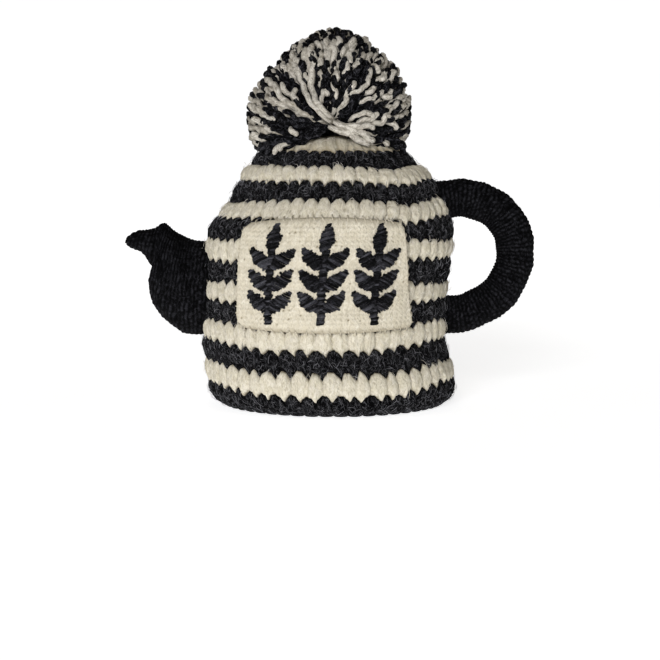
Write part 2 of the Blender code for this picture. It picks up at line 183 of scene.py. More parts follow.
# White paper, evenly bright from edge to edge.
wall = BACKDROP_RADIUS * ball_grid(np.radians(np.linspace(-4, 88, BACKDROP_ROWS)), BACKDROP_COLUMNS)
wall_mesh = quads_mesh(
    "backdrop", wall.reshape(-1, 3), grid_corners(BACKDROP_ROWS, BACKDROP_COLUMNS, False, True)[:, ::-1]
)
wall_finish, wall_tree, wall_shader = new_material(
    "white_paper_backdrop", 1.0, "#000000", Emission_Strength=1.0
)
wall_shader.inputs["Emission Color"].default_value = linear(WHITE_PAPER)
wall_grain = add_node(wall_tree, "TexNoise", {"Scale": 3.0, "Detail": 1.0})
wall_bump = add_node(wall_tree, "Bump", {"Strength": 0.02, "Height": wall_grain.outputs[0]})
wall_tree.links.new(wall_bump.outputs[0], wall_shader.inputs["Normal"])
backdrop = put_in_scene("backdrop", wall_mesh, wall_finish)
for ray in ("diffuse", "glossy", "transmission", "shadow", "volume_scatter"):
    setattr(backdrop, "visible_" + ray, False)  # it is seen but throws no light of its own

for light_name, (strength, spread, height, from_front, colour) in LIGHTS.items():
    lamp = bpy.data.lights.new(light_name, "SUN")
    lamp.energy = strength * math.pi
    lamp.angle = math.radians(spread)
    lamp.color = linear(colour)[:3]
    light = bpy.data.objects.new(light_name, lamp)
    light.rotation_euler = (math.radians(90 - height), 0, math.radians(from_front))
    bpy.context.scene.collection.objects.link(light)

room = bpy.data.worlds.new("studio")
room.use_nodes = True
room.node_tree.nodes["Background"].inputs["Color"].default_value = linear(ROOM_COLOUR)
room.node_tree.nodes["Background"].inputs["Strength"].default_value = ROOM_LIGHT
bpy.context.scene.world = room
bpy.context.scene.view_settings.view_transform = "Standard"

shot = bpy.data.objects.new("camera", bpy.data.cameras.new("camera"))
shot.location = CAMERA_PLACE
shot.rotation_euler = (CAMERA_AIM - CAMERA_PLACE).to_track_quat("-Z", "Y").to_euler()
shot.data.angle = 2 * math.atan(VIEW_WIDTH / 2 / (CAMERA_AIM - CAMERA_PLACE).length)
bpy.context.scene.collection.objects.link(shot)
bpy.context.scene.camera = shot


# The dome: fourteen rounds of puff stitches in a chunky wool blend, charcoal at the hem and then
# cream and charcoal by turns. Each puff is a plump leaf, and sits between two puffs of the round
# below, so the colours meet in a zigzag of arches.

# The third colour of each yarn is the painted shade in its grooves and tucks.
CREAM, CREAM_LIGHT, CREAM_PAINTED_SHADE = "#d3cbb3", "#e9e2d0", "#9a8d72"
CHARCOAL, CHARCOAL_LIGHT, CHARCOAL_PAINTED_SHADE = "#030304", "#08080a", "#010101"
CREAM_FIBRE, CHARCOAL_FIBRE = "#f6f1e6", "#8f8f94"
VALLEYS = np.array([  # height and radius where the cloth draws in between two rounds
    (0.0000, 0.0872), (0.0145, 0.0952), (0.0320, 0.0948), (0.0490, 0.0930), (0.0660, 0.0932),
    (0.0830, 0.0928), (0.1000, 0.0932), (0.1170, 0.0938), (0.1340, 0.0938), (0.1490, 0.0886),
    (0.1625, 0.0806), (0.1750, 0.0748), (0.1875, 0.0657), (0.1995, 0.0550), (0.2092, 0.0380),
])
ROUNDS = len(VALLEYS) - 1
CROWN_HEIGHT, CROWN_RADIUS = 0.2145, 0.0140
WALL = 0.0050
HEM_INNER_RADIUS = 0.0810
HEM_ROLL, HEM_SCALLOP = 0.0014, 0.0011  # how far the hem rolls out, and rises between two stitches
LEANS = np.array([  # height, and how far the dome leans along X there
    (0.000, 0.0026), (0.024, 0.0004), (0.050, -0.0048), (0.095, -0.0034), (0.139, 0.0008),
    (0.157, 0.0048), (0.176, 0.0056), (0.197, 0.0020), (0.219, 0.0004),
])
SLACK = 0.0012
LOWEST = 0.0002  # nothing reaches below this height
STITCHES = [50, 50, 50, 50, 50, 50, 50, 50, 50, 49, 47, 44, 38, 30]
STITCH_WOBBLE = 0.11  # of a stitch's width
EDGE_SHARES = (0.45, 0.55)  # a stitch ends this much over its start and this much evenly spaced
# How high each round's zigzag is, in rounds, and how blunt its arches are.
ARCH = [0.35, 0.36, 0.34, 0.34, 0.33, 0.33, 0.33, 0.33, 0.31, 0.32, 0.33, 0.28, 0.26, 0.12]
ARCH_POWER = [2.1, 2.1, 2.1, 2.0, 2.1, 2.0, 2.1, 2.0, 2.2, 2.6, 2.6, 2.6, 2.4, 2.4]
ARCH_MEAN, TOP_SPREAD = 0.64, 0.13
RAGGED = ((0.022, 149, 1.0), (0.012, 263, 2.1))  # height in rounds, waves round the dome, shift a round
FLANK_FROM, FLANK_SPAN, BACK_FROM, BACK_SPAN = 20, 52, 165, 60  # degrees from the front
FLANK_RISE = [  # how far each colour change climbs towards the left and the right side, in rounds
    (0, 0), (0.34, 0.44), (0.27, 0.24), (0.33, 0.29), (0.20, 0.18), (0.14, 0.14), (-0.06, -0.14),
    (-0.12, 0.04), (-0.16, -0.20), (-0.06, 0.02), (-0.28, 0.05), (0.12, 0.22), (0, 0), (0, 0), (0, 0),
]
SAGS = [  # a colour change that droops: which one, the angle from the front, its spread, how far
    (9, 0, 34, -0.22), (9, 42, 14, -0.24), (10, 42, 18, -0.32), (11, 44, 18, -0.28), (12, 38, 20, -0.22),
]
STITCH_WIDTH, STITCH_HEIGHT = 0.0122, 0.017
PUFF_HEIGHT, PUFF_FOOT = 0.0034, -0.0010  # from the cloth's line to the top of a puff and its edge
PUFF_TUCK, HEM_TUCK = -0.0030, -0.0035  # where a puff's edges, and the hem's, are tucked in
PUFF_SHARE = [1.0] * 12 + [0.6, 0.7]
PUFF_SPREAD, GROOVES = 0.07, (0.30, 0.80)  # how puffs differ, and how deep the groove between two is
PUFF_STRANDS, STRAND_RELIEF = 4, 0.00020
SIDE_BULGE = 0.0004
GRAIN = ((0.0075, 50, 0.00034), (0.0030, 80, 0.00016))  # wavelength, seed and height of lumps
PUFF_COLUMNS, PUFF_ROWS = 12, 17
BACK_ROWS = (0.86, 0.5, 0.14)  # the rows behind, that come back down inside the cloth


def settle(x, y, z):
    """Moves points of a round dome to the leaning, slack one: the radius grows by
    SLACK sin(2 angle + 0.9) sin(pi rise), and x by the lean at that height."""
    rise = np.clip(z / CROWN_HEIGHT, 0, 1)
    radius = np.hypot(x, y)
    slack = SLACK * np.sin(2 * np.arctan2(y, x) + 0.9) * np.sin(np.pi * rise)
    reach = 1 + slack * np.minimum(radius / VALLEYS[0, 1], 1) / np.maximum(radius, 1e-6)
    return np.stack([x * reach + np.interp(z, *LEANS.T), y * reach + AXIS_Y, z], axis=-1)


def catmull_rom(knots, i, f):
    """The place and slope at share f of step i of a Catmull-Rom curve, whose knots have one more at
    each end: the cubic (2b + (c-a)f + (2a-5b+4c-d)f^2 + (3b-a-3c+d)f^3) / 2 of four knots."""
    a, b, c, d = (knots[i + k] for k in range(4))
    first, second, third = c - a, 2 * a - 5 * b + 4 * c - d, 3 * b - a - 3 * c + d
    place = 0.5 * (2 * b + first * f + second * f**2 + third * f**3)
    return place, 0.5 * (first + 2 * second * f + 3 * third * f**2)


def cloth_line(t):
    """The valleys' smooth line, t being a count of rounds from the hem: a Catmull-Rom curve
    through them gives (height, radius), and its slope gives the direction square to the cloth."""
    knots = np.vstack([2 * VALLEYS[0] - VALLEYS[1], VALLEYS, (CROWN_HEIGHT, CROWN_RADIUS)])
    i = np.clip(np.floor(t).astype(int), 0, ROUNDS - 1)
    place, slope = catmull_rom(knots, i, (t - i)[..., None])
    length = np.hypot(slope[..., 0], slope[..., 1])
    return place[..., 1], place[..., 0], slope[..., 0] / length, -slope[..., 1] / length


def on_cloth(angle, t, out):
    """The point at this angle from the front, t rounds up and this far out from the cloth."""
    radius, height, outwards, upwards = cloth_line(t)
    reach, rise = radius + out * outwards, height + out * upwards
    return settle(reach * np.sin(angle), -reach * np.cos(angle), np.maximum(rise, LOWEST))


def unit(vectors):
    """The same directions, each of length 1."""
    return vectors / np.maximum(np.linalg.norm(vectors, axis=-1, keepdims=True), 1e-9)


def ripple(points, wavelength, seed, waves=14):
    """Soft noise of about -1 to 1: a sum of plane sine waves in random directions."""
    draw = np.random.default_rng(seed)
    total = np.zeros(points.shape[:-1])
    for _ in range(waves):
        direction = draw.normal(size=3)
        direction *= math.tau / wavelength / np.linalg.norm(direction) * draw.uniform(0.7, 1.5)
        total += np.sin(points @ direction + draw.uniform(0, math.tau))
    return total / math.sqrt(waves)


def yarn_material(name, colours, strand, bump, sheen, streak, curls, gloss=0.04, glint=0.0):
    """Soft spun yarn in four colours: its body, its light places, its painted shade, and fibres that are
    paler, partly their own colour and partly painted as catching the light. It has a mottle 5 mm
    across, dark streaks in the shade colour along its fibres, painted shade where the relief layer is
    low, in the grooves and tucks between the stitches, painted glints in the fibre colour where that
    layer is high if glint is set, and fibres that run up each stitch or lie across it. They are drawn
    about twenty times too wide, or none would show."""
    base, light, painted_shade_colour, fibre = colours
    material, tree, shader = new_material(
        name, 0.9 - gloss, Sheen_Weight=sheen, Sheen_Roughness=0.6, Specular_IOR_Level=gloss
    )
    shader.inputs["Sheen Tint"].default_value = linear(light)
    cloth = add_node(tree, "UVMap", uv_map="cloth")
    place = add_node(tree, "TexCoord")
    relief_and_painted_shade = add_node(tree, "Attribute", attribute_name="relief_and_painted_shade")
    mottle = add_node(tree, "TexNoise", {"Vector": place.outputs["Object"], "Scale": 240.0, "Detail": 4.0,
                                         "Roughness": 0.7})
    patches = add_node(tree, "MapRange", {"Value": mottle.outputs[0], "From Min": 0.36, "From Max": 0.64})
    colour = add_node(tree, "Mix", {"Factor": patches.outputs[0], "A": linear(base), "B": linear(light)},
                      data_type="RGBA").outputs["Result"]
    height = mottle.outputs[0]
    for turned, long, shift, low, high, share, tint in (  # turn from upright in degrees, length over width
        (6, 5, 0.0, 0.47, 0.33, streak, painted_shade_colour), (-38, 6, 0.3, 0.44, 0.33, streak * 0.7, painted_shade_colour),
        (-14, 7, 0.7, 0.645, 0.71, curls, fibre), (40, 7, 1.1, 0.65, 0.71, curls, fibre),
        (-62, 7, 1.9, 0.65, 0.72, curls, fibre),
    ):
        lie = add_node(tree, "Mapping", {"Vector": cloth.outputs[0], "Location": (shift, 0, 0),
                                         "Rotation": (0, 0, math.radians(turned))})
        scale = (1 / strand, 1 / strand / long, 1)
        drawn = add_node(tree, "Mapping", {"Vector": lie.outputs[0], "Scale": scale})
        fibres = add_node(tree, "TexNoise", {"Vector": drawn.outputs[0], "Scale": 1.0, "Detail": 1.0,
                                             "Distortion": 1.2}, noise_dimensions="2D")
        band = add_node(tree, "MapRange", {"Value": fibres.outputs[0], "From Min": low, "From Max": high,
                                           "To Max": share})
        colour = add_node(tree, "Mix", {"Factor": band.outputs[0], "A": colour, "B": linear(tint)},
                          data_type="RGBA").outputs["Result"]
        raised = add_node(tree, "Math", {0: fibres.outputs[0], 1: 0.7, 2: height}, operation="MULTIPLY_ADD")
        height = raised.outputs[0]
    # Painted glints: the fibre colour where the relief layer is high.
    if glint:
        lit = add_node(tree, "MapRange", {"Value": relief_and_painted_shade.outputs["Fac"], "From Min": 0.55, "To Max": glint})
        colour = add_node(tree, "Mix", {"Factor": lit.outputs[0], "A": colour, "B": linear(fibre)},
                          data_type="RGBA").outputs["Result"]
    # Painted shade: the shade colour where the relief layer is low, between and under the stitches.
    hollow = add_node(tree, "MapRange", {"Value": relief_and_painted_shade.outputs["Fac"], "From Min": 0.0, "From Max": 0.62,
                                         "To Min": 0.9, "To Max": 0.0}, interpolation_type="SMOOTHSTEP")
    shaded = add_node(tree, "Mix", {"Factor": hollow.outputs[0], "A": colour, "B": linear(painted_shade_colour)},
                      data_type="RGBA")
    tree.links.new(shaded.outputs["Result"], shader.inputs["Base Color"])
    bumped = add_node(tree, "Bump", {"Strength": bump, "Distance": 0.0010, "Height": height})
    tree.links.new(bumped.outputs[0], shader.inputs["Normal"])
    return material


def arch(share, power):
    """The outline of a puff's top over its width: 0 at both sides, 1 in the middle."""
    return 1 - np.abs(2 * share - 1) ** power


def stitch_edges():
    """For each round the angles of its stitches' edges, where they start and where they end. A
    stitch starts over the dip between two of the round below, and ends nearer an even spacing."""
    draw = np.random.default_rng(21)
    start = np.arange(STITCHES[0] + 1) * math.tau / STITCHES[0]
    all_edges = []
    for row, count in enumerate(STITCHES):
        if row:
            dips = all_edges[-1][1][:-1]
            chosen = np.unique(np.floor(np.linspace(0, len(dips), count, endpoint=False) + 0.37).astype(int))
            middles = dips[chosen]
            before = np.roll(middles, 1)
            before[0] -= math.tau
            start = (middles + before) / 2
            start = np.append(start, start[0] + math.tau)
        even = np.arange(count + 1) * math.tau / count
        even += np.mean(start - even)
        end = EDGE_SHARES[0] * start + EDGE_SHARES[1] * even
        step = math.tau / count
        wobble = np.clip(draw.normal(0, STITCH_WOBBLE, count), -2 * STITCH_WOBBLE, 2 * STITCH_WOBBLE) * step
        end[:-1] += wobble + 0.10 * step * math.sin(row * 1.7)
        end[-1] = end[0] + math.tau
        all_edges.append((start, end))
    return all_edges


EDGES = stitch_edges()
STITCH_DRAW = np.random.default_rng(33)
TOP_SCATTER = [STITCH_DRAW.normal(0, TOP_SPREAD, n) for n in STITCHES]
TOP_SKEW = [np.exp(STITCH_DRAW.normal(0, TOP_SPREAD, n)) for n in STITCHES]


def zigzag(row, angle):
    """How many rounds up the top of this round is at each angle: an arch over every stitch, its
    peak a little to one side, with a fine raggedness and the climb and sag of the whole row."""
    edges = EDGES[row][1]
    wrapped = edges[0] + np.mod(angle - edges[0], math.tau)
    index = np.interp(wrapped, edges, np.arange(len(edges)))
    stitch = np.minimum(index.astype(int), STITCHES[row] - 1)
    share = (index - stitch) ** TOP_SKEW[row][stitch]
    rise = arch(share, ARCH_POWER[row]) * (1 + TOP_SCATTER[row][stitch]) - ARCH_MEAN
    turned = np.degrees(np.mod(angle + math.pi, math.tau) - math.pi)
    flank = np.clip((np.abs(turned) - FLANK_FROM) / FLANK_SPAN, 0, 1)
    behind = np.clip((BACK_FROM - np.abs(turned)) / BACK_SPAN, 0, 1)
    climb = np.where(turned < 0, *FLANK_RISE[row + 1]) * flank**2 * (3 - 2 * flank) * behind
    for change, at, spread, drop in SAGS:
        if change == row + 1:
            climb = climb + drop * np.exp(-(((turned - at) / spread) ** 2))
    ragged = sum(height * np.sin(waves * angle + shift * row) for height, waves, shift in RAGGED)
    return row + 1 + ARCH[row] * rise * (1 - 0.3 * flank * behind) + ragged + climb


def grid_uv(uv):
    """The uv of each cell's corners, from a grid of uv that is one longer where the cells wrap."""
    cells = [uv[:-1, :-1], uv[:-1, 1:], uv[1:, 1:], uv[1:, :-1]]
    return np.stack(cells, axis=2).reshape(-1, 4, 2)


def round_grid(row):
    """One round as a closed ring: a grid of points, its uv and its painted shade layer, low where the
    puffs tuck in and in the grooves between them. The outer rows go up the puffs, out = PUFF_HEIGHT
    sqrt(1 - |2v-1|^2.8) less the groove between two puffs, and the last rows come back down inside
    the cloth."""
    count = STITCHES[row]
    share = np.arange(PUFF_COLUMNS) / PUFF_COLUMNS
    start, end = EDGES[row]
    low = (start[:-1, None] + np.diff(start)[:, None] * share).ravel()
    high = (end[:-1, None] + np.diff(end)[:, None] * share).ravel()
    across = np.tile(share, count)
    stitch = np.repeat(np.arange(count), PUFF_COLUMNS)
    puff = STITCH_DRAW.normal(1.0, PUFF_SPREAD, count)[stitch]
    phase = STITCH_DRAW.uniform(0, math.tau, count)[stitch]
    side_bulge = STITCH_DRAW.normal(0, SIDE_BULGE, count)[stitch]
    v = np.linspace(0, 1, PUFF_ROWS)
    v = (v + 0.5 * (1 - np.cos(np.pi * v))) / 2
    rows = np.concatenate([[-0.07], v, [1.07], BACK_ROWS])
    lift = rows[:, None]
    angle = low + (high - low) * np.clip(lift, 0, 1)
    bottom = zigzag(row - 1, low) if row else np.zeros_like(low)
    top = zigzag(row, high)
    t = bottom + (top - bottom) * lift
    inside = np.clip(lift, 0, 1)
    swell = np.sqrt(np.maximum(1 - np.abs(2 * inside - 1) ** 2.8, 0))
    sides = np.maximum(1 - np.abs(2 * across - 1) ** 2.2, 0) ** 0.55
    depth = STITCH_DRAW.uniform(*GROOVES, count) * (0.8 if row % 2 else 1.0)
    groove = 1 - (depth[stitch] + (np.roll(depth, -1) - depth)[stitch] * across) * (1 - sides)
    strands = np.cos(math.tau * PUFF_STRANDS * (across + 0.05 * np.sin(math.tau * inside + phase)) + phase)
    out = PUFF_FOOT + (PUFF_HEIGHT - PUFF_FOOT) * PUFF_SHARE[row] * puff * swell * groove
    out = out + STRAND_RELIEF * strands * swell + side_bulge * (2 * across - 1) * swell
    # Painted shade: the relief layer falls towards nothing at each puff's tucked edges and in the grooves
    # between puffs, and the top round, under the pompom, is painted darker all over.
    relief_and_painted_shade = swell * groove * np.ones_like(t) * (0.45 if row == ROUNDS - 1 else 1.0)
    if row == 0:
        roll = np.clip(inside / 0.30, 0, 1)
        edge = HEM_ROLL * (0.45 + 0.55 * sides) * puff
        out = np.where(inside < 0.5, edge * np.sqrt(1 - (1 - roll) ** 2) + (out - edge) * roll**1.5, out)
        # The hem's rolled lower edge is painted with less shade.
        relief_and_painted_shade = np.maximum(relief_and_painted_shade, 0.55 * (inside < 0.3))
    back = np.arange(len(rows)) >= PUFF_ROWS + 2
    out = np.where(back[:, None], -WALL + 0.0006, out)
    out[[0, PUFF_ROWS + 1]] = PUFF_TUCK
    if row == 0:
        t[[0, -1]] = 0.0
        out[0], out[-1] = HEM_TUCK, HEM_INNER_RADIUS - VALLEYS[0, 1] + 0.0008
    points = on_cloth(angle, t, out)
    middle = points[1 : PUFF_ROWS + 1]
    grain = sum(ripple(middle, wavelength, seed + row) * height for wavelength, seed, height in GRAIN)
    outwards = (middle - np.array([np.interp(0.1, *LEANS.T), AXIS_Y, 0.1])) * [1, 1, 0.4]
    middle += unit(outwards) * (grain * swell[1 : PUFF_ROWS + 1])[..., None]
    points[..., 2] = np.maximum(points[..., 2], LOWEST)
    if row == 0:
        points[1:7, :, 2] += HEM_SCALLOP * (1 - sides) * np.linspace(1, 0.2, 6)[:, None]
    relief_and_painted_shade = np.where(back[:, None], 0.0, relief_and_painted_shade)
    relief_and_painted_shade[[0, PUFF_ROWS + 1]] = 0.0
    u = np.append((stitch + across) * STITCH_WIDTH, count * STITCH_WIDTH)
    climb = np.append(rows, rows[-1] - 0.3) * STITCH_HEIGHT + row * 0.02
    uv = np.stack(np.broadcast_arrays(u[None, :], climb[:, None]), axis=-1)
    return points, uv, relief_and_painted_shade


# A loosely spun wool blend: matt and cloudy, with paler hairs that break up its colour.
chunky_cream = yarn_material(
    "cream_chunky_wool_blend", (CREAM, CREAM_LIGHT, CREAM_PAINTED_SHADE, CREAM_FIBRE),
    strand=0.0010, bump=0.7, sheen=0.08, streak=0.38, curls=0.40
)
chunky_charcoal = yarn_material(
    "charcoal_chunky_wool_blend", (CHARCOAL, CHARCOAL_LIGHT, CHARCOAL_PAINTED_SHADE, CHARCOAL_FIBRE),
    strand=0.0007, bump=0.9, sheen=0.0, streak=0.9, curls=0.34
)
round_pieces, puff_faces = [], {}
for name, rows_of_colour, finish in (
    ("charcoal_rounds", range(0, ROUNDS, 2), chunky_charcoal),
    ("cream_rounds", range(1, ROUNDS, 2), chunky_cream),
):
    places, faces, uvs, painted_shade_layers, first = [], [], [], [], 0
    for row in rows_of_colour:
        points, uv, relief_and_painted_shade = round_grid(row)
        puff_faces[row] = points[3 : PUFF_ROWS - 1]
        places.append(points.reshape(-1, 3))
        faces.append(grid_corners(*points.shape[:2], True, True, first))
        uvs.append(grid_uv(uv))
        painted_shade_layers.append(relief_and_painted_shade.ravel())
        first += points.shape[0] * points.shape[1]
    mesh = quads_mesh(name, np.vstack(places), np.vstack(faces), np.vstack(uvs),
                      {"relief_and_painted_shade": np.concatenate(painted_shade_layers)})
    piece = put_in_scene(name, mesh, finish)
    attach(piece, "root")
    round_pieces.append(piece)


# Stray fibres: the wool blend's loose hairs, that curl over the puffs and cross from one colour to
# the next, held by the yarn that they come from. They are drawn 0.28 mm thick, or none would show.

HAIRS = (("charcoal", 3000, CHARCOAL, CHARCOAL_FIBRE), ("cream", 1400, "#cfc6b3", "#fbf7ee"))
HAIR_RADIUS, HAIR_LENGTH = 0.00014, 0.0062
HAIR_TAPER = np.array([1, 1, 1, 0.9, 0.8, 0.5])
HAIR_LOWEST = 0.0005
DOME_WIDTH = 0.18  # a hair follows the curve of a dome of this width
PLY_TURN = 0.007  # the length of one turn of a yarn's plies


def distance_along(paths):
    """How far along its path each point is, a path's points being on the last axis but one."""
    steps = np.linalg.norm(np.diff(paths, axis=-2), axis=-1)
    return np.insert(np.cumsum(steps, axis=-1), 0, 0.0, axis=-1)


def strands_mesh(name, groups, sides, ply=0.0):
    """Round strands along paths. Each group is paths (n, steps, 3), radii (n, steps) and shades (n).
    A ring is r (N cos a + B sin a), with N carried along the path, and both ends are rounded off.
    The relief layer is each strand's painted shade, darkened further by ply (1 + sin(a + 2 pi length /
    PLY_TURN)) / 2 where its plies turn."""
    places, faces, uvs, painted_shade_layers, first = [], [], [], [], 0
    for paths, radii, shades in groups:
        count, steps = paths.shape[:2]
        tangent = unit(np.gradient(paths, axis=1))
        side = np.cross(tangent[:, 0], np.array([0.31, 0.52, 0.79]))
        carried = []
        for step in range(steps):
            side = unit(side - tangent[:, step] * np.sum(side * tangent[:, step], axis=1, keepdims=True))
            carried.append(side)
        normal = np.stack(carried, axis=1)
        binormal = np.cross(tangent, normal)
        turn = np.linspace(0, math.tau, sides, endpoint=False)
        spread = normal[:, :, None] * np.cos(turn)[:, None] + binormal[:, :, None] * np.sin(turn)[:, None]
        rings = paths[:, :, None] + radii[:, :, None, None] * spread
        heads = paths[:, 0] - tangent[:, 0] * radii[:, :1] * 0.5
        tails = paths[:, -1] + tangent[:, -1] * radii[:, -1:] * 0.5
        strand_points = np.concatenate([rings.reshape(count, -1, 3), heads[:, None], tails[:, None]], axis=1)
        places.append(strand_points.reshape(-1, 3))
        size, ring = steps * sides + 2, np.arange(sides)
        one = np.vstack([
            grid_corners(steps, sides, False, True),
            fan(size - 2, ring, -1), fan(size - 1, (steps - 1) * sides + ring),
        ])
        faces.append((one[None] + first + (np.arange(count) * size)[:, None, None]).reshape(-1, 4))
        lengths = distance_along(paths)
        painted_ply_shade = 1 - ply * (0.5 + 0.5 * np.sin(turn + lengths[..., None] * math.tau / PLY_TURN))
        shaded = (shades[:, None, None] * painted_ply_shade).reshape(count, -1)
        painted_shade_layers.append(np.concatenate([shaded, shades[:, None], shades[:, None]], axis=1).ravel())
        up = lengths + np.arange(count)[:, None] * 0.013
        uv = np.stack(np.broadcast_arrays(np.linspace(0, 1, sides + 1) * sides * 0.002, up[..., None]), -1)
        cells = np.stack([uv[:, :-1, :-1], uv[:, :-1, 1:], uv[:, 1:, 1:], uv[:, 1:, :-1]], axis=3)
        cells = np.concatenate([cells.reshape(count, -1, 4, 2), np.zeros((count, 2 * sides, 4, 2))], axis=1)
        uvs.append(cells.reshape(-1, 4, 2))
        first += count * size
    return quads_mesh(name, np.vstack(places), np.vstack(faces), np.vstack(uvs),
                      {"relief_and_painted_shade": np.concatenate(painted_shade_layers)})


def stray_fibres(skin, count, draw):
    """Paths that start anywhere on a grid of puffs: each lies along it, turns at an even rate and
    rises in its middle, x and z being the sums of sin(heading) and cos(heading)."""
    i = draw.integers(2, skin.shape[0] - 2, count)
    j = draw.integers(0, skin.shape[1], count)
    across = unit(skin[i, (j + 4) % skin.shape[1]] - skin[i, (j - 4) % skin.shape[1]])
    out = unit(np.cross(across, skin[i + 2, j] - skin[i - 2, j]))
    up = np.cross(out, across)
    share = np.linspace(0, 1, len(HAIR_TAPER))
    heading = draw.normal(0, 1.0, count)[:, None] + draw.normal(0, 1.5, count)[:, None] * share
    stride = HAIR_LENGTH / (len(HAIR_TAPER) - 1) * draw.uniform(0.5, 1.4, count)[:, None]
    x, z = np.cumsum(np.sin(heading) * stride, axis=1), np.cumsum(np.cos(heading) * stride, axis=1)
    rise = 0.0002 + draw.uniform(0.0003, 0.0012, count)[:, None] * np.sin(np.pi * share)
    rise -= (x * x + z * z) / DOME_WIDTH
    paths = skin[i, j][:, None] + across[:, None] * x[..., None] + up[:, None] * z[..., None]
    paths = paths + out[:, None] * rise[..., None]
    paths[..., 2] = np.maximum(paths[..., 2], HAIR_LOWEST)
    return paths


for first_row, (colour, hairs, dull, bright) in enumerate(HAIRS):
    draw = np.random.default_rng(60 + first_row)
    rows_of_colour = range(first_row, ROUNDS, 2)
    total = sum(STITCHES[row] for row in rows_of_colour)
    paths = np.concatenate([
        stray_fibres(puff_faces[row], hairs * STITCHES[row] // total, draw) for row in rows_of_colour
    ])
    # Single wool hairs, scaly and hardly shiny, from dull ones to ones that catch the light.
    finish, tree, shader = new_material("loose_" + colour + "_wool_fibres", 0.85, Specular_IOR_Level=0.1)
    shade = add_node(tree, "Attribute", attribute_name="relief_and_painted_shade")
    tint = add_node(tree, "Mix", {"Factor": shade.outputs["Fac"], "A": linear(dull), "B": linear(bright)},
                    data_type="RGBA")
    scales = add_node(tree, "TexNoise", {"Scale": 900.0, "Detail": 1.0})
    rough = add_node(tree, "Bump", {"Strength": 0.3, "Distance": 0.0002, "Height": scales.outputs[0]})
    tree.links.new(tint.outputs["Result"], shader.inputs["Base Color"])
    tree.links.new(rough.outputs[0], shader.inputs["Normal"])
    radii = HAIR_RADIUS * HAIR_TAPER * np.ones((len(paths), 1))
    mesh = strands_mesh(colour + "_fibres", [(paths, radii, draw.uniform(0, 1, len(paths)) ** 1.1)], 3)
    piece = put_in_scene(colour + "_fibres", mesh, finish)
    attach(piece, "root")


# The cloth that the stitches' backs make inside the dome, a thin shell from the hem to the
# gathered crown, in the same stripes. It shows from below.

LINING_COLUMNS = 96
LINING_OUTSIDE, LINING_INSIDE = -0.0032, -0.0049  # how far its two faces are from the cloth's line
CROWN_RINGS = np.array([(0.024, -0.0022), (0.009, -0.0006)])  # radius, and height from the crown's
CROWN_THICK = 0.0020

turns = np.linspace(0, math.tau, LINING_COLUMNS, endpoint=False)
lining_rounds = np.linspace(0.04, ROUNDS, 3 * ROUNDS + 1)[:, None]
outer = on_cloth(turns, lining_rounds, np.full(LINING_COLUMNS, LINING_OUTSIDE))
inner = on_cloth(turns, lining_rounds[::-1], np.full(LINING_COLUMNS, LINING_INSIDE))
ring_radius, ring_height = CROWN_RINGS[:, :1], CROWN_HEIGHT + CROWN_RINGS[:, 1:] + 0 * turns
ring_x, ring_y = ring_radius * np.sin(turns), -ring_radius * np.cos(turns)
crown_above, crown_below = (settle(ring_x, ring_y, ring_height - drop) for drop in (0, CROWN_THICK))
lining = np.concatenate([outer, crown_above, crown_below[::-1], inner])
top_pole = settle(np.zeros(1), np.zeros(1), np.array([CROWN_HEIGHT]))
under_pole = top_pole - [0, 0, CROWN_THICK + 0.0002]
last_above = len(outer) + len(CROWN_RINGS) - 1
cells = grid_corners(len(lining), LINING_COLUMNS, True, True).reshape(len(lining), LINING_COLUMNS, 4)
ring = np.arange(LINING_COLUMNS) + last_above * LINING_COLUMNS
lining_mesh = quads_mesh("dome_cloth", np.vstack([lining.reshape(-1, 3), top_pole, under_pole]), np.vstack([
    np.delete(cells, last_above, axis=0).reshape(-1, 4),
    fan(lining.size // 3, ring), fan(lining.size // 3 + 1, ring + LINING_COLUMNS, -1),
]))
# The backs of chunky stitches: flat loops, duller than the puffs and without their loose hairs,
# their cream stripes painted in the cream's shade colour.
cloth_finish, cloth_tree, cloth_shader = new_material("backs_of_chunky_stitches", 0.95)
place = add_node(cloth_tree, "TexCoord")
split = add_node(cloth_tree, "SeparateXYZ", {0: place.outputs["Object"]})
weave = add_node(cloth_tree, "TexNoise", {"Vector": place.outputs["Object"], "Scale": 260.0, "Detail": 3.0})
stripe = add_node(cloth_tree, "ValToRGB", {0: split.outputs["Z"]})
stripe.color_ramp.interpolation = "CONSTANT"
stripe_scale = add_node(cloth_tree, "MapRange", {"Value": split.outputs["Z"], "From Max": CROWN_HEIGHT})
cloth_tree.links.new(stripe_scale.outputs[0], stripe.inputs[0])
stops = stripe.color_ramp.elements
for row in range(ROUNDS):
    stop = stops[0] if row == 0 else stops.new(VALLEYS[row, 0] / CROWN_HEIGHT)
    stop.position = VALLEYS[row, 0] / CROWN_HEIGHT
    stop.color = linear(CREAM_PAINTED_SHADE if row % 2 else CHARCOAL)
stops.remove(stops[-1])
cloth_tree.links.new(stripe.outputs[0], cloth_shader.inputs["Base Color"])
weave_bump = add_node(cloth_tree, "Bump", {"Strength": 0.7, "Distance": 0.001, "Height": weave.outputs[0]})
cloth_tree.links.new(weave_bump.outputs[0], cloth_shader.inputs["Normal"])
dome_cloth = put_in_scene("dome_cloth", lining_mesh, cloth_finish)
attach(dome_cloth, "root")
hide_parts("body")


# The spout: a crocheted charcoal tube, wide where it is sewn to the side, filled and closed, with
# a short lip that turns up. Its stitches are single crochet in a finer wool.

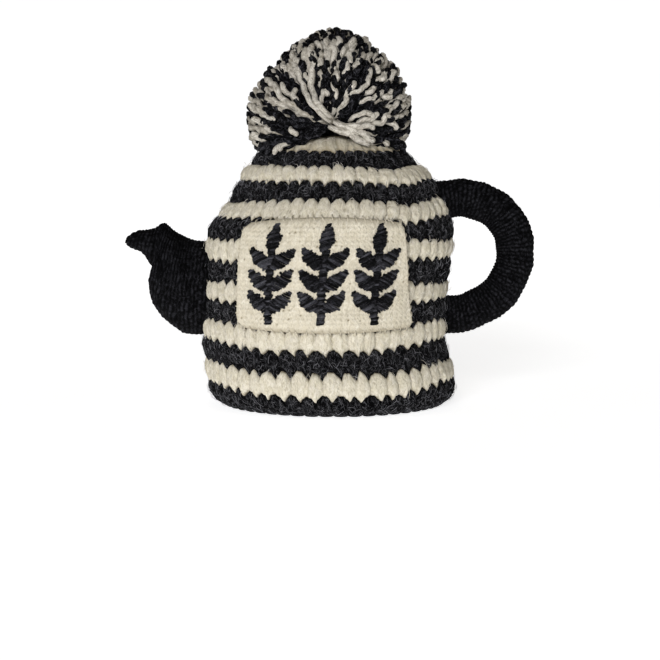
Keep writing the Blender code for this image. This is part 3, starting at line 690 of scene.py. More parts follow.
SPOUT = np.array([  # the lower and upper end of each oval section, and half its depth
    (-0.0800, 0.0580, -0.0800, 0.1280, 0.0300), (-0.0960, 0.0552, -0.0930, 0.1290, 0.0320),
    (-0.1100, 0.0542, -0.1040, 0.1290, 0.0325), (-0.1195, 0.0568, -0.1106, 0.1304, 0.0315),
    (-0.1300, 0.0648, -0.1170, 0.1330, 0.0295), (-0.1385, 0.0752, -0.1234, 0.1370, 0.0265),
    (-0.1440, 0.0870, -0.1285, 0.1415, 0.0230), (-0.1430, 0.0975, -0.1316, 0.1432, 0.0200),
    (-0.1402, 0.1045, -0.1345, 0.1420, 0.0180), (-0.1446, 0.1120, -0.1385, 0.1390, 0.0165),
    (-0.1500, 0.1185, -0.1440, 0.1386, 0.0145), (-0.1560, 0.1222, -0.1500, 0.1382, 0.0120),
    (-0.1604, 0.1248, -0.1556, 0.1358, 0.0085), (-0.1626, 0.1278, -0.1606, 0.1324, 0.0045),
])
SPOUT_ROWS, SPOUT_COLUMNS = 164, 150
SPOUT_STITCHES, SPOUT_GIRTH = (46, 12), 0.16  # stitches round it, at the dome and at the lip
CROCHET_PITCH = 0.0032
CROCHET_RELIEF = 0.0011
STUFFING_RELIEF = 0.0005  # how uneven the stuffing leaves the cover
ROUND_BULGE = 0.0034  # how far the dome's puffs stand out from its cloth
SEAT_DEPTH = 0.0012  # how far a sewn-on piece sinks between the dome's puffs


def through(knots, count):
    """Points evenly along a Catmull-Rom curve through the knots."""
    padded = np.vstack([2 * knots[0] - knots[1], knots, 2 * knots[-1] - knots[-2]])
    t = np.linspace(0, len(knots) - 1, 40 * len(knots))
    i = np.minimum(t.astype(int), len(knots) - 2)
    fine = catmull_rom(padded, i, (t - i)[:, None])[0]
    gone = distance_along(fine[:, :4])
    even = np.linspace(0, gone[-1], count)
    return np.stack([np.interp(even, gone, values) for values in fine.T], axis=1)


def grid_normals(points):
    """Unit normals of a grid whose columns wrap: columns' step crossed with rows' step."""
    along = np.gradient(points, axis=0)
    round_it = np.roll(points, -1, axis=1) - np.roll(points, 1, axis=1)
    return unit(np.cross(round_it, along))


def seat(points, side, depth):
    """Moves points that reach into the dome out along X, so that they lie this far inside the
    puffs' crests: x = side sqrt(r^2 - y^2) beyond the leaning axis."""
    t = np.interp(points[..., 2], VALLEYS[:, 0], np.arange(ROUNDS + 1))
    radius = cloth_line(t)[0] + ROUND_BULGE - depth
    away = np.abs(points[..., 1] - AXIS_Y)
    wall = side * np.sqrt(np.maximum(radius**2 - away**2, 0)) + np.interp(points[..., 2], *LEANS.T)
    seated = points.copy()
    seated[..., 0] = side * np.maximum(side * points[..., 0], side * wall)
    return seated


def crochet(points, rows_at, around):
    """Relief of single crochet from 0 to 1: uneven rows of small domes, each row half a stitch on,
    with height |sin(pi row)|^0.6 (0.35 + 0.65 |sin(pi stitch)|^0.7), a size for each stitch."""
    rows_at = rows_at / CROCHET_PITCH + 0.16 * ripple(points, 0.010, 7)
    row = np.floor(rows_at)
    beside = around + 0.5 * row + 0.35 * (rows_at - row) + 0.22 * ripple(points, 0.007, 8)
    sizes = np.random.default_rng(12).uniform(0.62, 1.0, 4096)
    size = sizes[(31 * row + np.floor(beside)).astype(int) % len(sizes)]
    up = np.abs(np.sin(np.pi * rows_at)) ** 0.6
    return size * up * (0.35 + 0.65 * np.abs(np.sin(np.pi * beside)) ** 0.7)


def tube_mesh(name, points, uv, relief_and_painted_shade):
    """A closed mesh of a grid whose columns wrap, with a point at the middle of each end."""
    rows, columns = points.shape[:2]
    ends = np.stack([points[0].mean(axis=0), points[-1].mean(axis=0)])
    ring, count = np.arange(columns), rows * columns
    corners = np.vstack([
        grid_corners(rows, columns, False, True),
        fan(count, ring, -1), fan(count + 1, count - columns + ring),
    ])
    end_uv = np.zeros((2 * columns, 4, 2))
    return quads_mesh(name, np.vstack([points.reshape(-1, 3), ends]), corners,
                      np.vstack([grid_uv(uv), end_uv]), {"relief_and_painted_shade": np.append(relief_and_painted_shade.ravel(), [0.5, 0.5])})


# Fine wool in single crochet: matt black with a painted dull grey glint on the top of each stitch,
# and painted shade between the stitches.
fine_charcoal = yarn_material(
    "charcoal_fine_wool_crochet", ("#070708", "#0c0c0e", "#020202", "#4a4a50"),
    strand=0.0007, bump=0.8, sheen=0.0, streak=0.8, curls=0.26, glint=0.32
)


def crocheted_tube(name, skin, gone, side, stitches, girth, wavelength, seed):
    """A stuffed tube of single crochet, from its grid and the distance along it. The grid is seated
    in the dome on one side, and moves out along its normals by CROCHET_RELIEF (relief - 0.6) and
    STUFFING_RELIEF times a ripple."""
    turn = np.linspace(0, math.tau, skin.shape[1] + 1)
    relief_and_painted_shade = crochet(skin, gone[:, None], turn[:-1] / math.tau * stitches)
    skin = seat(skin, side, SEAT_DEPTH)
    out = (relief_and_painted_shade - 0.6) * CROCHET_RELIEF + ripple(skin, wavelength, seed) * STUFFING_RELIEF
    skin = skin + grid_normals(skin) * out[..., None]
    uv = np.stack(np.broadcast_arrays(turn[None, :] / math.tau * girth, gone[:, None]), axis=-1)
    return put_in_scene(name, tube_mesh(name, skin, uv, relief_and_painted_shade), fine_charcoal)


rows = through(SPOUT, SPOUT_ROWS)
turn = np.linspace(0, math.tau, SPOUT_COLUMNS, endpoint=False)
low_end, high_end = (np.insert(rows[:, k : k + 2], 1, AXIS_Y, axis=1) for k in (0, 2))
middle, half = (low_end + high_end) / 2, (low_end - high_end) / 2
skin = middle[:, None] + half[:, None] * np.cos(turn)[:, None]
skin[..., 1] -= rows[:, 4, None] * np.sin(turn)
stitches = np.linspace(*SPOUT_STITCHES, SPOUT_ROWS)[:, None]
spout_cover = crocheted_tube(
    "spout_cover", skin, distance_along(middle), side=-1, stitches=stitches,
    girth=SPOUT_GIRTH, wavelength=0.020, seed=5
)
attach(spout_cover, "root")
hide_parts("spout")


# The handle: a long charcoal tube of the same crochet, filled firmly, bent to a D and sewn to the
# dome at both ends.

HANDLE = np.array([  # x and z of its middle line, from its upper end to its lower one
    (0.0850, 0.1612), (0.1100, 0.1624), (0.1364, 0.1498), (0.1478, 0.1220), (0.1372, 0.0900),
    (0.1120, 0.0730), (0.0860, 0.0700),
])
HANDLE_RADIUS = 0.0150
HANDLE_STITCHES = 24
HANDLE_ROWS, HANDLE_COLUMNS = 390, 84

route = through(HANDLE, HANDLE_ROWS)
tangent = unit(np.gradient(route, axis=0))
turn = np.linspace(0, math.tau, HANDLE_COLUMNS, endpoint=False)
skin = np.zeros((HANDLE_ROWS, HANDLE_COLUMNS, 3))
skin[..., 0] = route[:, :1] - HANDLE_RADIUS * tangent[:, 1:] * np.cos(turn)
skin[..., 1] = AXIS_Y - HANDLE_RADIUS * np.sin(turn)
skin[..., 2] = route[:, 1:] + HANDLE_RADIUS * tangent[:, :1] * np.cos(turn)
handle_cover = crocheted_tube(
    "handle_cover", skin, distance_along(route), side=1, stitches=HANDLE_STITCHES,
    girth=math.tau * HANDLE_RADIUS, wavelength=0.022, seed=6
)
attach(handle_cover, "root")
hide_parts("handle")


# The pompom: cut strands of the chunky yarn, cream and charcoal, tied together low at the front.
# From the tie they fan out over the ball, wavy from having been wound, with their cut ends outside.

BALL = np.array([0.0010, AXIS_Y, 0.2368])
TIE = np.array([0.0010, -0.0410, 0.2182])
BALL_OUTLINE = np.array([  # angle from +X in the view from the front, and the ball's reach there
    (-50, 0.0680), (-20, 0.0655), (0, 0.0622), (20, 0.0592), (50, 0.0553), (70, 0.0580), (90, 0.0580),
    (105, 0.0556), (120, 0.0544), (145, 0.0550), (160, 0.0584), (172, 0.0640), (200, 0.0688), (230, 0.0690),
])
STRANDS, BALL_COVERED = 860, 1.58  # strands' ends, from the ball's top down, 2 being all of the ball
END_SCATTER, TIP_CLEAR = 0.045, 0.004
STRAND_STEPS, STRAND_SIDES = (19, 10), 6  # steps of a strand at the front and of one behind
STRAND_RADIUS = 0.0024
STRAND_ARC = math.radians(58)
STRAND_STARTS = (0.66, 0.50)  # how far out a strand starts at the tie and elsewhere, of the ball's reach
REAR_FROM, REAR_THICKER = math.radians(105), 1.25
TIE_CLEAR = math.radians(34)  # no strand ends nearer the tie than this
TOP_STEPS, DRAPED_STEPS = 16, 10
WAVE, WAVE_LENGTH = 0.0012, 0.0118
PLY_SWELL = 0.0052  # how far apart the turns of the ply show
HEART_RADIUS, HEART_GIRTH, HEART_FLATNESS = 0.040, 0.25, 0.82
HEART_ROWS, HEART_COLUMNS = 24, 48
BLACK_ELSEWHERE, TIE_REACH = 0.46, math.radians(54)  # the share of charcoal past this angle from the tie
BLACK_SHARE = np.array([  # angle about the tie, from +X, and the share of charcoal strands there
    (-90, 0.7), (-40, 0.85), (0, 0.85), (20, 0.80), (40, 0.88), (60, 0.95), (88, 0.85), (96, 0.66),
    (125, 0.62), (140, 0.66), (155, 0.55), (170, 0.72), (185, 0.92), (215, 0.92), (270, 0.7),
])
TOP_STRANDS = [  # the cream strands that lie on top, by angle about the tie and angle away from it
    ((76, 8), (22, 13), (0, 21), (-13, 30)), ((106, 4), (18, 9), (-5, 16), (-19, 26)),
    ((61, 9), (26, 14), (14, 24), (4, 30)), ((6, 30), (8, 37), (12, 41), (9, 46)),
    ((29, 16), (38, 21), (32, 26), (23, 32), (18, 30)), ((52, 26), (42, 34), (35, 42), (33, 52)),
    ((30, 49), (22, 55)), ((72, 28), (62, 33), (52, 40), (50, 48), (52, 62)), ((45, 39), (41, 48)),
    ((78, 40), (73, 47), (67, 58), (64, 65)), ((99, 34), (92, 41), (94, 55), (91, 67), (87, 81)),
    ((109, 24), (102, 33), (95, 28)), ((87, 7), (116, 17), (124, 29), (125, 45), (123, 63)),
    ((85, 10), (106, 17), (116, 27), (116, 40), (112, 49), (107, 57), (109, 74)), ((103, 49), (100, 60)),
    ((146, 25), (148, 32), (149, 46), (148, 58), (153, 78)), ((141, 29), (138, 37), (134, 43)),
    ((175, 67), (173, 53), (170, 40)), ((180, 51), (183, 42)), ((176, 30), (178, 22)), ((-15, 41), (-20, 44)),
    ((6, 43), (-4, 51)), ((-13, 58), (-18, 75)), ((51, 71), (45, 63)), ((38, 76), (39, 59)),
]
DRAPED_ENDS = [  # over the top rounds: colour, and angle from the front and rounds up of both ends
    ("cream", -26, 13.9, -36, 13.2), ("cream", -30, 13.6, -44, 13.1), ("cream", -33, 13.2, -40, 12.7),
    ("cream", -36, 13.2, -43, 12.5), ("charcoal", -38, 13.9, -56, 12.9),
    ("charcoal", -44, 13.9, -60, 12.6), ("charcoal", -52, 13.9, -66, 12.7),
    ("charcoal", -40, 13.8, -52, 12.5), ("charcoal", -60, 13.9, -72, 12.9),
    ("charcoal", 44, 13.9, 56, 12.8), ("charcoal", 50, 13.9, 62, 12.6),
    ("charcoal", 56, 13.9, 66, 12.8), ("charcoal", 62, 13.9, 72, 12.9),
    ("charcoal", 18, 14.0, 40, 13.6), ("charcoal", 12, 14.2, 30, 13.8),
    ("charcoal", -24, 13.9, 0, 14.3), ("charcoal", 2, 14.3, 22, 13.8), ("charcoal", -16, 14.2, 4, 14.4),
]


draw = np.random.default_rng(12)
index = np.arange(STRANDS) + 0.5
upness = 1 - BALL_COVERED * index / STRANDS
golden = math.pi * (1 + math.sqrt(5)) * index
levelness = np.sqrt(1 - upness**2)
ends = np.stack([levelness * np.cos(golden), levelness * np.sin(golden), upness], -1)
ends = unit(ends + draw.normal(0, END_SCATTER, ends.shape))
tie_way = unit(TIE - BALL)
right_way = unit(np.array([1.0, 0.0, 0.0]) - tie_way * tie_way[0])
up_way = np.cross(tie_way, right_way)
angle_out = np.arccos(np.clip(ends @ tie_way, -1, 1))
around = np.degrees(np.arctan2(ends @ up_way, ends @ right_way))
seen = np.degrees(np.arctan2(ends[:, 2], ends[:, 0]))
seen = np.where(seen < -90, seen + 360, seen)
reach = np.interp(seen, *BALL_OUTLINE.T)
tips = BALL + ends * reach[:, None]
tip_radius = np.hypot(tips[:, 0], tips[:, 1] - AXIS_Y)
dome_height = np.interp(tip_radius, VALLEYS[::-1, 1][:7], VALLEYS[::-1, 0][:7])
keep = (angle_out > TIE_CLEAR) & (tips[:, 2] > dome_height + TIP_CLEAR)
ends, angle_out, around, reach = ends[keep], angle_out[keep], around[keep], reach[keep]
count = len(ends)
frontness = np.clip((math.radians(155) - angle_out) / math.radians(75), 0.22, 1)
arc = np.minimum(STRAND_ARC * frontness * draw.uniform(0.8, 1.15, count), angle_out)
sideways = unit(ends - tie_way * (ends @ tie_way)[:, None])
start_depth = np.where(angle_out - arc < 0.05, *STRAND_STARTS) * draw.uniform(0.92, 1.05, count)
end_depth = 1 - 0.085 * draw.random(count) ** 1.5
around = np.where(around < -90, around + 360, around)
black_share = np.interp(around, *BLACK_SHARE.T)
black_share += (BLACK_ELSEWHERE - black_share) * np.clip((angle_out - TIE_REACH) / 0.30, 0, 1)
is_black = draw.random(count) < black_share


def crinkle(paths, ways, amount, draw):
    """Strands as they come off the card they were wound on: swung sideways and in and out by sines
    of WAVE, with their radii, which swell a little at each turn of the ply."""
    count, steps = paths.shape[:2]
    across = unit(np.cross(ways, np.gradient(paths, axis=1)))
    gone = distance_along(paths)
    turns = gone / (WAVE_LENGTH * draw.uniform(0.8, 1.3, count)[:, None])
    phase = draw.uniform(0, math.tau, (2, count, 1))
    fade = amount * np.minimum(1, np.linspace(0, 1, steps) * 3)
    swung = paths + across * (WAVE * np.sin(math.tau * turns + phase[0]) * fade)[..., None]
    swung = swung + ways * (0.6 * WAVE * np.sin(math.tau * 0.83 * turns + phase[1]) * fade)[..., None]
    along = np.linspace(0, 1, steps)
    radii = STRAND_RADIUS * draw.normal(1, 0.10, count)[:, None] * (0.72 + 0.28 * np.minimum(1, along * 2.2))
    return swung, radii * np.where(along > 0.97, 0.66, 1.0) * (1 + 0.08 * np.sin(math.tau * gone / PLY_SWELL))


groups = {"cream": [], "charcoal": []}
for steps, chosen in zip(STRAND_STEPS, (angle_out < REAR_FROM, angle_out >= REAR_FROM)):
    for colour, of_colour in (("charcoal", is_black), ("cream", ~is_black)):
        mine = chosen & of_colour
        along = np.linspace(0, 1, steps)
        phi = angle_out[mine, None] - arc[mine, None] * (1 - along)
        ways = np.cos(phi)[..., None] * tie_way + np.sin(phi)[..., None] * sideways[mine, None]
        depth = start_depth[mine, None] + (end_depth - start_depth)[mine, None] * (1 - (1 - along) ** 1.7)
        swung, radii = crinkle(BALL + ways * (depth * reach[mine, None])[..., None], ways, 1.0, draw)
        radii = radii * (REAR_THICKER if steps == STRAND_STEPS[1] else 1.0)
        # Each strand gets its own painted shade, some darker as though under the strands over them.
        groups[colour].append((swung, radii, draw.uniform(0.36, 0.75, len(radii))))
for route in TOP_STRANDS:
    knots = np.radians(np.array(route, float))
    ways = (np.cos(knots[:, 1, None]) * tie_way + np.sin(knots[:, 1, None])
            * (np.cos(knots[:, 0, None]) * right_way + np.sin(knots[:, 0, None]) * up_way))
    ways = unit(through(ways, TOP_STEPS))
    turned = np.degrees(np.arctan2(ways[:, 2], ways[:, 0]))
    far = np.interp(np.where(turned < -90, turned + 360, turned), *BALL_OUTLINE.T)
    sunk = 0.985 - 0.16 * (1 - np.linspace(0, 1, TOP_STEPS)) ** 6
    paths, radii = crinkle((BALL + ways * (far * sunk)[:, None])[None], ways[None], 0.55, draw)
    groups["cream"].append((paths, radii * 0.95, draw.uniform(0.60, 0.80, 1)))
for colour, from_angle, from_t, to_angle, to_t in DRAPED_ENDS:
    share = np.linspace(0, 1, DRAPED_STEPS)
    angles = np.radians(from_angle + (to_angle - from_angle) * share)
    laid = on_cloth(angles, from_t + (to_t - from_t) * share, 0.0055 + 0.0020 * np.sin(np.pi * share))
    paths, radii = crinkle(laid[None], unit(laid - BALL * [1, 1, 0.8])[None], 0.6, draw)
    groups[colour].append((paths, radii, np.array([0.62])))
# Cut wool-blend yarn: its plies show as dark turns of painted shade, and its fluff is paler than the yarn.
pompom_cream = yarn_material(
    "cream_pompom_yarn", ("#d2ccbf", "#e2dcd0", "#786f5c", "#f3eee3"),
    strand=0.0010, bump=0.9, sheen=0.05, streak=0.65, curls=0.45
)
pompom_charcoal = yarn_material(
    "charcoal_pompom_yarn", ("#070708", "#0d0d0f", "#020202", "#6f6f76"),
    strand=0.0010, bump=0.9, sheen=0.0, streak=0.9, curls=0.40
)
for colour, finish in (("cream", pompom_cream), ("charcoal", pompom_charcoal)):
    name = "pompom_" + colour + "_strands"
    piece = put_in_scene(name, strands_mesh(name, groups[colour], STRAND_SIDES, ply=0.35), finish)
    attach(piece, "root")
    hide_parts("pompom")

# The pompom's heart, where its strands are packed too close to be told apart, darkened all over by painted
# shade.
climb = np.linspace(-1.45, 1.45, HEART_ROWS)
core = ball_grid(climb, HEART_COLUMNS)
core = BALL + core * HEART_RADIUS * (1 + 0.05 * ripple(core, 0.5, 9))[..., None] * [1, 1, HEART_FLATNESS]
u = np.linspace(0, HEART_GIRTH, HEART_COLUMNS + 1)
uv = np.stack(np.broadcast_arrays(u[None, :], climb[:, None] * HEART_RADIUS), -1)
heart_mesh = tube_mesh("pompom_heart", core, uv, np.full(core.shape[:2], 0.3))
heart = put_in_scene("pompom_heart", heart_mesh, pompom_charcoal)
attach(heart, "root")


# The panel: a rectangle of fine cream stocking stitch with rounded corners, laid over the puffs on
# the front and sewn down all round, so its edge thins to the seam and gapes a little between rounds.

PANEL_BOTTOM, PANEL_TOP = 0.0640, 0.1500
PANEL_BOTTOM_BOW, PANEL_TOP_BOW = 0.0025, 0.0040
PANEL_BOTTOM_ANGLES = np.radians([-42.5, 43.3])
PANEL_TOP_ANGLES = np.radians([-43.0, 34.0])
PANEL_CORNERS = ((0.0115, 0.0075), (0.0050, 0.0045))  # the bottom and top ones, left and right
PANEL_THICK, EDGE_THICK = 0.0026, 0.0007
SEAT_GAP = 0.0003
BULGE_SHARES = (0.28, 0.72)  # where a round's crest begins and ends, from one valley to the next
KNIT_COLUMN, KNIT_ROW = 0.0044, 0.0034
KNIT_RELIEF = 0.00052
PANEL_COLUMNS, PANEL_ROWS = 331, 181
REAR_STEP = 10
PINHOLES, PINHOLE_SIZES, PINHOLE_DEPTH = 80, (0.0003, 0.0008), 0.0007  # where the knit gapes
PUFF_SHOWS = 0.0004  # how far the puffs below push the knit out
PANEL_GRAIN = 0.00035
EDGE_ROLL = 0.0018  # the rounded strip along the edge

crest_heights, crest_radii = [], []
for row in range(ROUNDS):
    rise, narrowing = VALLEYS[row + 1] - VALLEYS[row]
    length = math.hypot(rise, narrowing)
    for share in BULGE_SHARES:
        crest_heights.append(VALLEYS[row, 0] + share * rise - ROUND_BULGE * narrowing / length)
        crest_radii.append(VALLEYS[row, 1] + share * narrowing + ROUND_BULGE * rise / length)
crest_heights, crest_radii = np.array(crest_heights), np.array(crest_radii)
crest_slopes = np.gradient(crest_radii, crest_heights)
PANEL_RADIUS = np.interp((PANEL_BOTTOM + PANEL_TOP) / 2, crest_heights, crest_radii)


def over_crests(angle, height, out):
    """The point this far out from the smooth line over the puffs' crests: a cubic through the
    crests' radii, with the reach lengthened by its slope."""
    i = np.clip(np.searchsorted(crest_heights, height) - 1, 0, len(crest_heights) - 2)
    span = crest_heights[i + 1] - crest_heights[i]
    t = (height - crest_heights[i]) / span
    radius = (
        (1 + 2 * t) * (1 - t) ** 2 * crest_radii[i] + t * (1 - t) ** 2 * span * crest_slopes[i]
        + t * t * (3 - 2 * t) * crest_radii[i + 1] - t * t * (1 - t) * span * crest_slopes[i + 1]
    )
    reach = radius + out * np.hypot(1, np.interp(height, crest_heights, crest_slopes))
    return settle(reach * np.sin(angle), -reach * np.cos(angle), height)


def panel_place(height_share, across):
    """(angle, height) of a place given as shares from -1 to 1 up and across: each row is shorter
    near the top and bottom by the depth of the round corners, and those edges bow."""
    middle, half = (PANEL_TOP + PANEL_BOTTOM) / 2, (PANEL_TOP - PANEL_BOTTOM) / 2
    up, ends = (1 + height_share) / 2, []
    for side in (0, 1):
        corner = np.where(height_share > 0, PANEL_CORNERS[side][1], PANEL_CORNERS[side][0])
        from_edge = np.minimum((1 - np.abs(height_share)) * half, corner)
        short = corner - np.sqrt(corner**2 - (corner - from_edge) ** 2)
        turned = PANEL_BOTTOM_ANGLES[side] + up * (PANEL_TOP_ANGLES[side] - PANEL_BOTTOM_ANGLES[side])
        ends.append(turned + (1 - 2 * side) * short / PANEL_RADIUS)
    left, right = ends
    bow = np.where(height_share > 0, PANEL_TOP_BOW, PANEL_BOTTOM_BOW)
    return left + (across + 1) / 2 * (right - left), middle + height_share * (half - bow * across**2)


up_share = np.linspace(-1, 1, PANEL_ROWS)
rounded = np.sign(up_share) * np.sin(np.pi / 2 * np.abs(up_share) ** 0.93)
up_share = np.where(np.abs(up_share) > 0.9, rounded, up_share)
up_share[[0, -1]] = -1, 1
across_share = np.linspace(-1, 1, PANEL_COLUMNS)
angle, height = panel_place(up_share[:, None], across_share[None, :])
x_flat, z_flat = angle * PANEL_RADIUS, height - PANEL_BOTTOM
half_high = (PANEL_TOP - PANEL_BOTTOM) / 2
edge_x = np.minimum(x_flat - x_flat[:, :1], x_flat[:, -1:] - x_flat)
edge_z = (1 - np.abs(up_share))[:, None] * half_high + 0 * x_flat
roll = np.clip(np.minimum(edge_x, edge_z) / EDGE_ROLL, 0, 1)
thickness = EDGE_THICK + (PANEL_THICK - EDGE_THICK) * np.sqrt(1 - (1 - roll) ** 2)
column = x_flat / KNIT_COLUMN
leg = np.abs(np.sin(np.pi * column)) ** 0.55
slant = z_flat / KNIT_ROW + 0.9 * np.abs(column - np.floor(column) - 0.5)
knit = leg * (0.62 + 0.38 * np.cos(math.tau * slant))
draw = np.random.default_rng(44)
hole_x = np.round(draw.uniform(x_flat.min(), x_flat.max(), PINHOLES) / KNIT_COLUMN) * KNIT_COLUMN
hole_z = (np.floor(draw.uniform(1, 24, PINHOLES)) + draw.normal(0, 0.1, PINHOLES)) * KNIT_ROW
hole_size = draw.uniform(*PINHOLE_SIZES, PINHOLES)
holes = np.zeros_like(x_flat)
for x, z, size in zip(hole_x, hole_z, hole_size):
    holes = np.maximum(holes, np.exp(-(((x_flat - x) ** 2 + (z_flat - z) ** 2) / size**2)))
puff_seen = 0.5 + 0.5 * np.cos(math.tau * (np.interp(height, VALLEYS[:, 0], np.arange(ROUNDS + 1)) - 0.5))
outer = thickness + roll * (
    KNIT_RELIEF * (knit - 0.5) - PINHOLE_DEPTH * holes + PUFF_SHOWS * (puff_seen - 0.6)
)
front_grain = ripple(over_crests(angle, height, SEAT_GAP + outer), 0.018, 14)
front = over_crests(angle, height, SEAT_GAP + outer + PANEL_GRAIN * front_grain * roll)
rear_rows, rear_columns = np.arange(0, PANEL_ROWS, REAR_STEP), np.arange(0, PANEL_COLUMNS, REAR_STEP)
rear_angle, rear_height = angle[np.ix_(rear_rows, rear_columns)], height[np.ix_(rear_rows, rear_columns)]
rear = over_crests(rear_angle, rear_height, np.full(rear_angle.shape, SEAT_GAP))


def border_of(rows, columns):
    """The indices of a grid's border points, anticlockwise from the lower left."""
    return np.concatenate([
        np.arange(columns), np.arange(2 * columns - 1, rows * columns, columns),
        np.arange(rows * columns - 2, (rows - 1) * columns - 1, -1),
        np.arange((rows - 2) * columns, 0, -columns),
    ])


rim = border_of(PANEL_ROWS, PANEL_COLUMNS)
rear_rim = border_of(len(rear_rows), len(rear_columns)) + angle.size
nearest = ((np.arange(len(rim)) + REAR_STEP // 2) // REAR_STEP) % len(rear_rim)
here, ahead = rear_rim[nearest], rear_rim[np.roll(nearest, -1)]
rim_on, stepped = np.roll(rim, -1), here != ahead
rim_faces = np.vstack([
    np.stack([here, here, rim_on, rim], -1), np.stack([here, here, ahead, rim_on], -1)[stepped],
])
corners_front = grid_corners(PANEL_ROWS, PANEL_COLUMNS, False, False)
corners_rear = grid_corners(len(rear_rows), len(rear_columns), False, False, angle.size)[:, ::-1]
no_uv = np.zeros((len(corners_rear) + len(rim_faces), 4, 2))
# Painted shade: darker in the knit's furrows, in the pinholes and towards the rolled edge.
knit_painted_shade = 0.62 * (0.35 + 0.65 * roll) * (0.80 + 0.25 * knit) * (1 - 0.95 * holes)
panel_mesh = quads_mesh(
    "panel_knit", np.vstack([front.reshape(-1, 3), rear.reshape(-1, 3)]),
    np.vstack([corners_front, corners_rear, rim_faces]),
    np.vstack([grid_uv(np.stack([x_flat, z_flat], -1)), no_uv]),
    {"relief_and_painted_shade": np.append(knit_painted_shade.ravel(), np.zeros(rear.size // 3))},
)
# Fine wool in stocking stitch: soft and even, with painted shade where its stitches meet, in its
# pinholes and along its rolled edge.
fine_cream = yarn_material(
    "cream_fine_wool_stocking_stitch", ("#d4cbb5", "#e2dac6", "#8f8368", "#f4efe3"),
    strand=0.0010, bump=0.6, sheen=0.08, streak=0.25, curls=0.35
)
panel_knit = put_in_scene("panel_knit", panel_mesh, fine_cream)
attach(panel_knit, "root")
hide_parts("panel")


# The seam: the panel is whipped down to the puffs with its own cream yarn, over its edge and
# into the round behind it, a stitch every few millimetres, drawn tight enough to sink in.

SEAM_PITCH, SEAM_REACH, SEAM_RADIUS = 0.0062, 0.0019, 0.00048
SEAM_STEPS = 6  # points along one stitch, and points of the edge that give its direction

edge = np.stack([x_flat.ravel()[rim], z_flat.ravel()[rim]], -1)
gone = distance_along(np.vstack([edge, edge[:1]]))
draw = np.random.default_rng(91)
count = int(gone[-1] / SEAM_PITCH)
places = (np.arange(count) + draw.uniform(0.3, 0.7, count)) * SEAM_PITCH
index = np.searchsorted(gone, places) % len(edge)
run = unit(np.roll(edge, -SEAM_STEPS, axis=0) - np.roll(edge, SEAM_STEPS, axis=0))[index]
beyond = np.stack([run[:, 1], -run[:, 0]], -1)
share = np.linspace(-1, 1, SEAM_STEPS)
lean = draw.normal(0.5, 0.25, len(index))[:, None, None]
laid = edge[index][:, None] + SEAM_REACH * share[:, None] * (beyond[:, None] + lean * run[:, None])
out = SEAT_GAP + 0.0002 + PANEL_THICK * 0.5 * (1 - share) + 0.0004 * (1 - share**2) - 0.0010 * share**6
out = np.broadcast_to(out, laid.shape[:2])
stitched = over_crests(laid[..., 0] / PANEL_RADIUS, laid[..., 1] + PANEL_BOTTOM, out)
# Each seam stitch gets a slight painted shade of its own.
seam_group = (stitched, np.full(stitched.shape[:2], SEAM_RADIUS), draw.uniform(0.5, 0.8, count))
panel_seam = put_in_scene("panel_seam", strands_mesh("panel_seam", [seam_group], 5), fine_cream)
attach(panel_seam, "root")


# The three sprigs on the panel: leaves and stem in raised satin stitch, each stitch one strand of
# charcoal wool laid side by side across the shape and down through the knit at both edges.

SPRIG_HEIGHT, SPRIG_BOTTOM = 0.0750, 0.0705
SPRIG_SPACING, SPRIG_MIDDLE_ANGLE = math.radians(23.5), math.radians(-1.6)
STEM_WIDTH = 0.0042
LEAF_LENGTH, LEAF_WIDTH = 0.0215, 0.0094
LEAF_PAIRS, FIRST_PAIR, PAIR_SPACING = 3, 0.0099, 0.0160
LEAF_LIFT = math.radians(46)
LEAF_FULLNESS = 0.8
SATIN_PITCH, SATIN_RADIUS = 0.00140, 0.00094
SATIN_RISE = 0.0021  # of the padding under the middle of a stitch
SATIN_STEPS = 8


def leaf_half(t):
    """Half a leaf's width: a sine that is fullest nearer the root."""
    return np.maximum(np.sin(np.pi * t**LEAF_FULLNESS) * LEAF_WIDTH / 2, 0.0006)


def stem_half(t):
    """Half the stem's width, the same all along."""
    return np.full_like(t, STEM_WIDTH / 2)


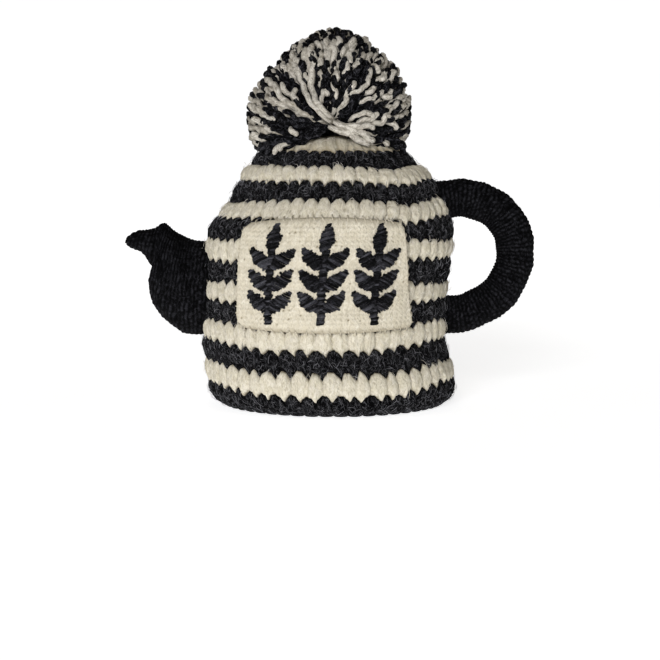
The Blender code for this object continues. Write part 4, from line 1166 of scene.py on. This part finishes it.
def satin(root, way, length, width_at, slant, draw):
    """Stitches across a shape that runs from root along way: each goes from edge to edge, leaning
    by slant, over an arch out = rise sqrt(1 - 0.96 x^2)."""
    count = int(round(length / SATIN_PITCH))
    along = (np.arange(count) + 0.5) / count
    half = width_at(along) + np.abs(draw.normal(0, 0.0003, count)) + 0.0002
    aside = draw.normal(0, 0.0005, count)[:, None]
    x = np.linspace(-1, 1, SATIN_STEPS)
    square = np.array([way[1], -way[0]])
    up = along[:, None] * length + slant * half[:, None] * x
    up = up + draw.normal(0, 0.00010, count)[:, None] * (1 + x)
    place = root + up[..., None] * way + (half[:, None] * x + aside)[..., None] * square
    out = -0.0004 + (SATIN_RISE * np.minimum(1, half / 0.0035)[:, None] + 0.0008) * np.sqrt(1 - 0.96 * x**2)
    return place, out + draw.normal(0, 0.00016, count)[:, None]


# Embroidery wool in satin stitch: its parallel strands are the glossiest part, with painted pale glints
# on some strands, painted shade on others and dark turns of painted shade along their plies.
satin_charcoal = yarn_material(
    "charcoal_embroidery_wool", ("#070708", "#101013", "#010101", "#92929c"),
    strand=0.0007, bump=0.8, sheen=0.0, streak=0.7, curls=0.30, gloss=0.10, glint=0.34
)
upright, tip_root = np.array([0.0, 1.0]), SPRIG_HEIGHT - LEAF_LENGTH
sprig_parts = [(np.zeros(2), upright, tip_root + 0.002, stem_half, 0.12)]
for pair in range(LEAF_PAIRS):
    for hand in (-1, 1):
        way = np.array([hand * math.sin(LEAF_LIFT), math.cos(LEAF_LIFT)])
        root = np.array([hand * STEM_WIDTH * 0.2, FIRST_PAIR + pair * PAIR_SPACING - 0.001])
        sprig_parts.append((root, way, LEAF_LENGTH + 0.001, leaf_half, 0.35 * hand))
sprig_parts.append((np.array([0.0, tip_root]), upright, LEAF_LENGTH, leaf_half, 0.3))

for step, side in enumerate(("left", "middle", "right")):
    draw = np.random.default_rng(70 + step)
    stitched = [satin(*sprig_part, draw) for sprig_part in sprig_parts]
    place, out = (np.concatenate(arrays) for arrays in zip(*stitched))
    middle_angle = SPRIG_MIDDLE_ANGLE + (step - 1) * SPRIG_SPACING
    strands = over_crests(middle_angle + place[..., 0] / PANEL_RADIUS, SPRIG_BOTTOM + place[..., 1],
                          SEAT_GAP + PANEL_THICK + out)
    thick = SATIN_RADIUS * draw.normal(1, 0.07, len(strands))[:, None] * np.ones(SATIN_STEPS)
    # Each strand's painted shade: the highest carry painted glints, the lowest painted shade.
    satin_group = (strands, thick, draw.uniform(0.1, 1, len(strands)))
    sprig_mesh = strands_mesh("sprig_" + side, [satin_group], 6, ply=0.2)
    sprig = put_in_scene("sprig_" + side + "_satin", sprig_mesh, satin_charcoal)
    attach(sprig, "root")
    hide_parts("sprig_" + side)
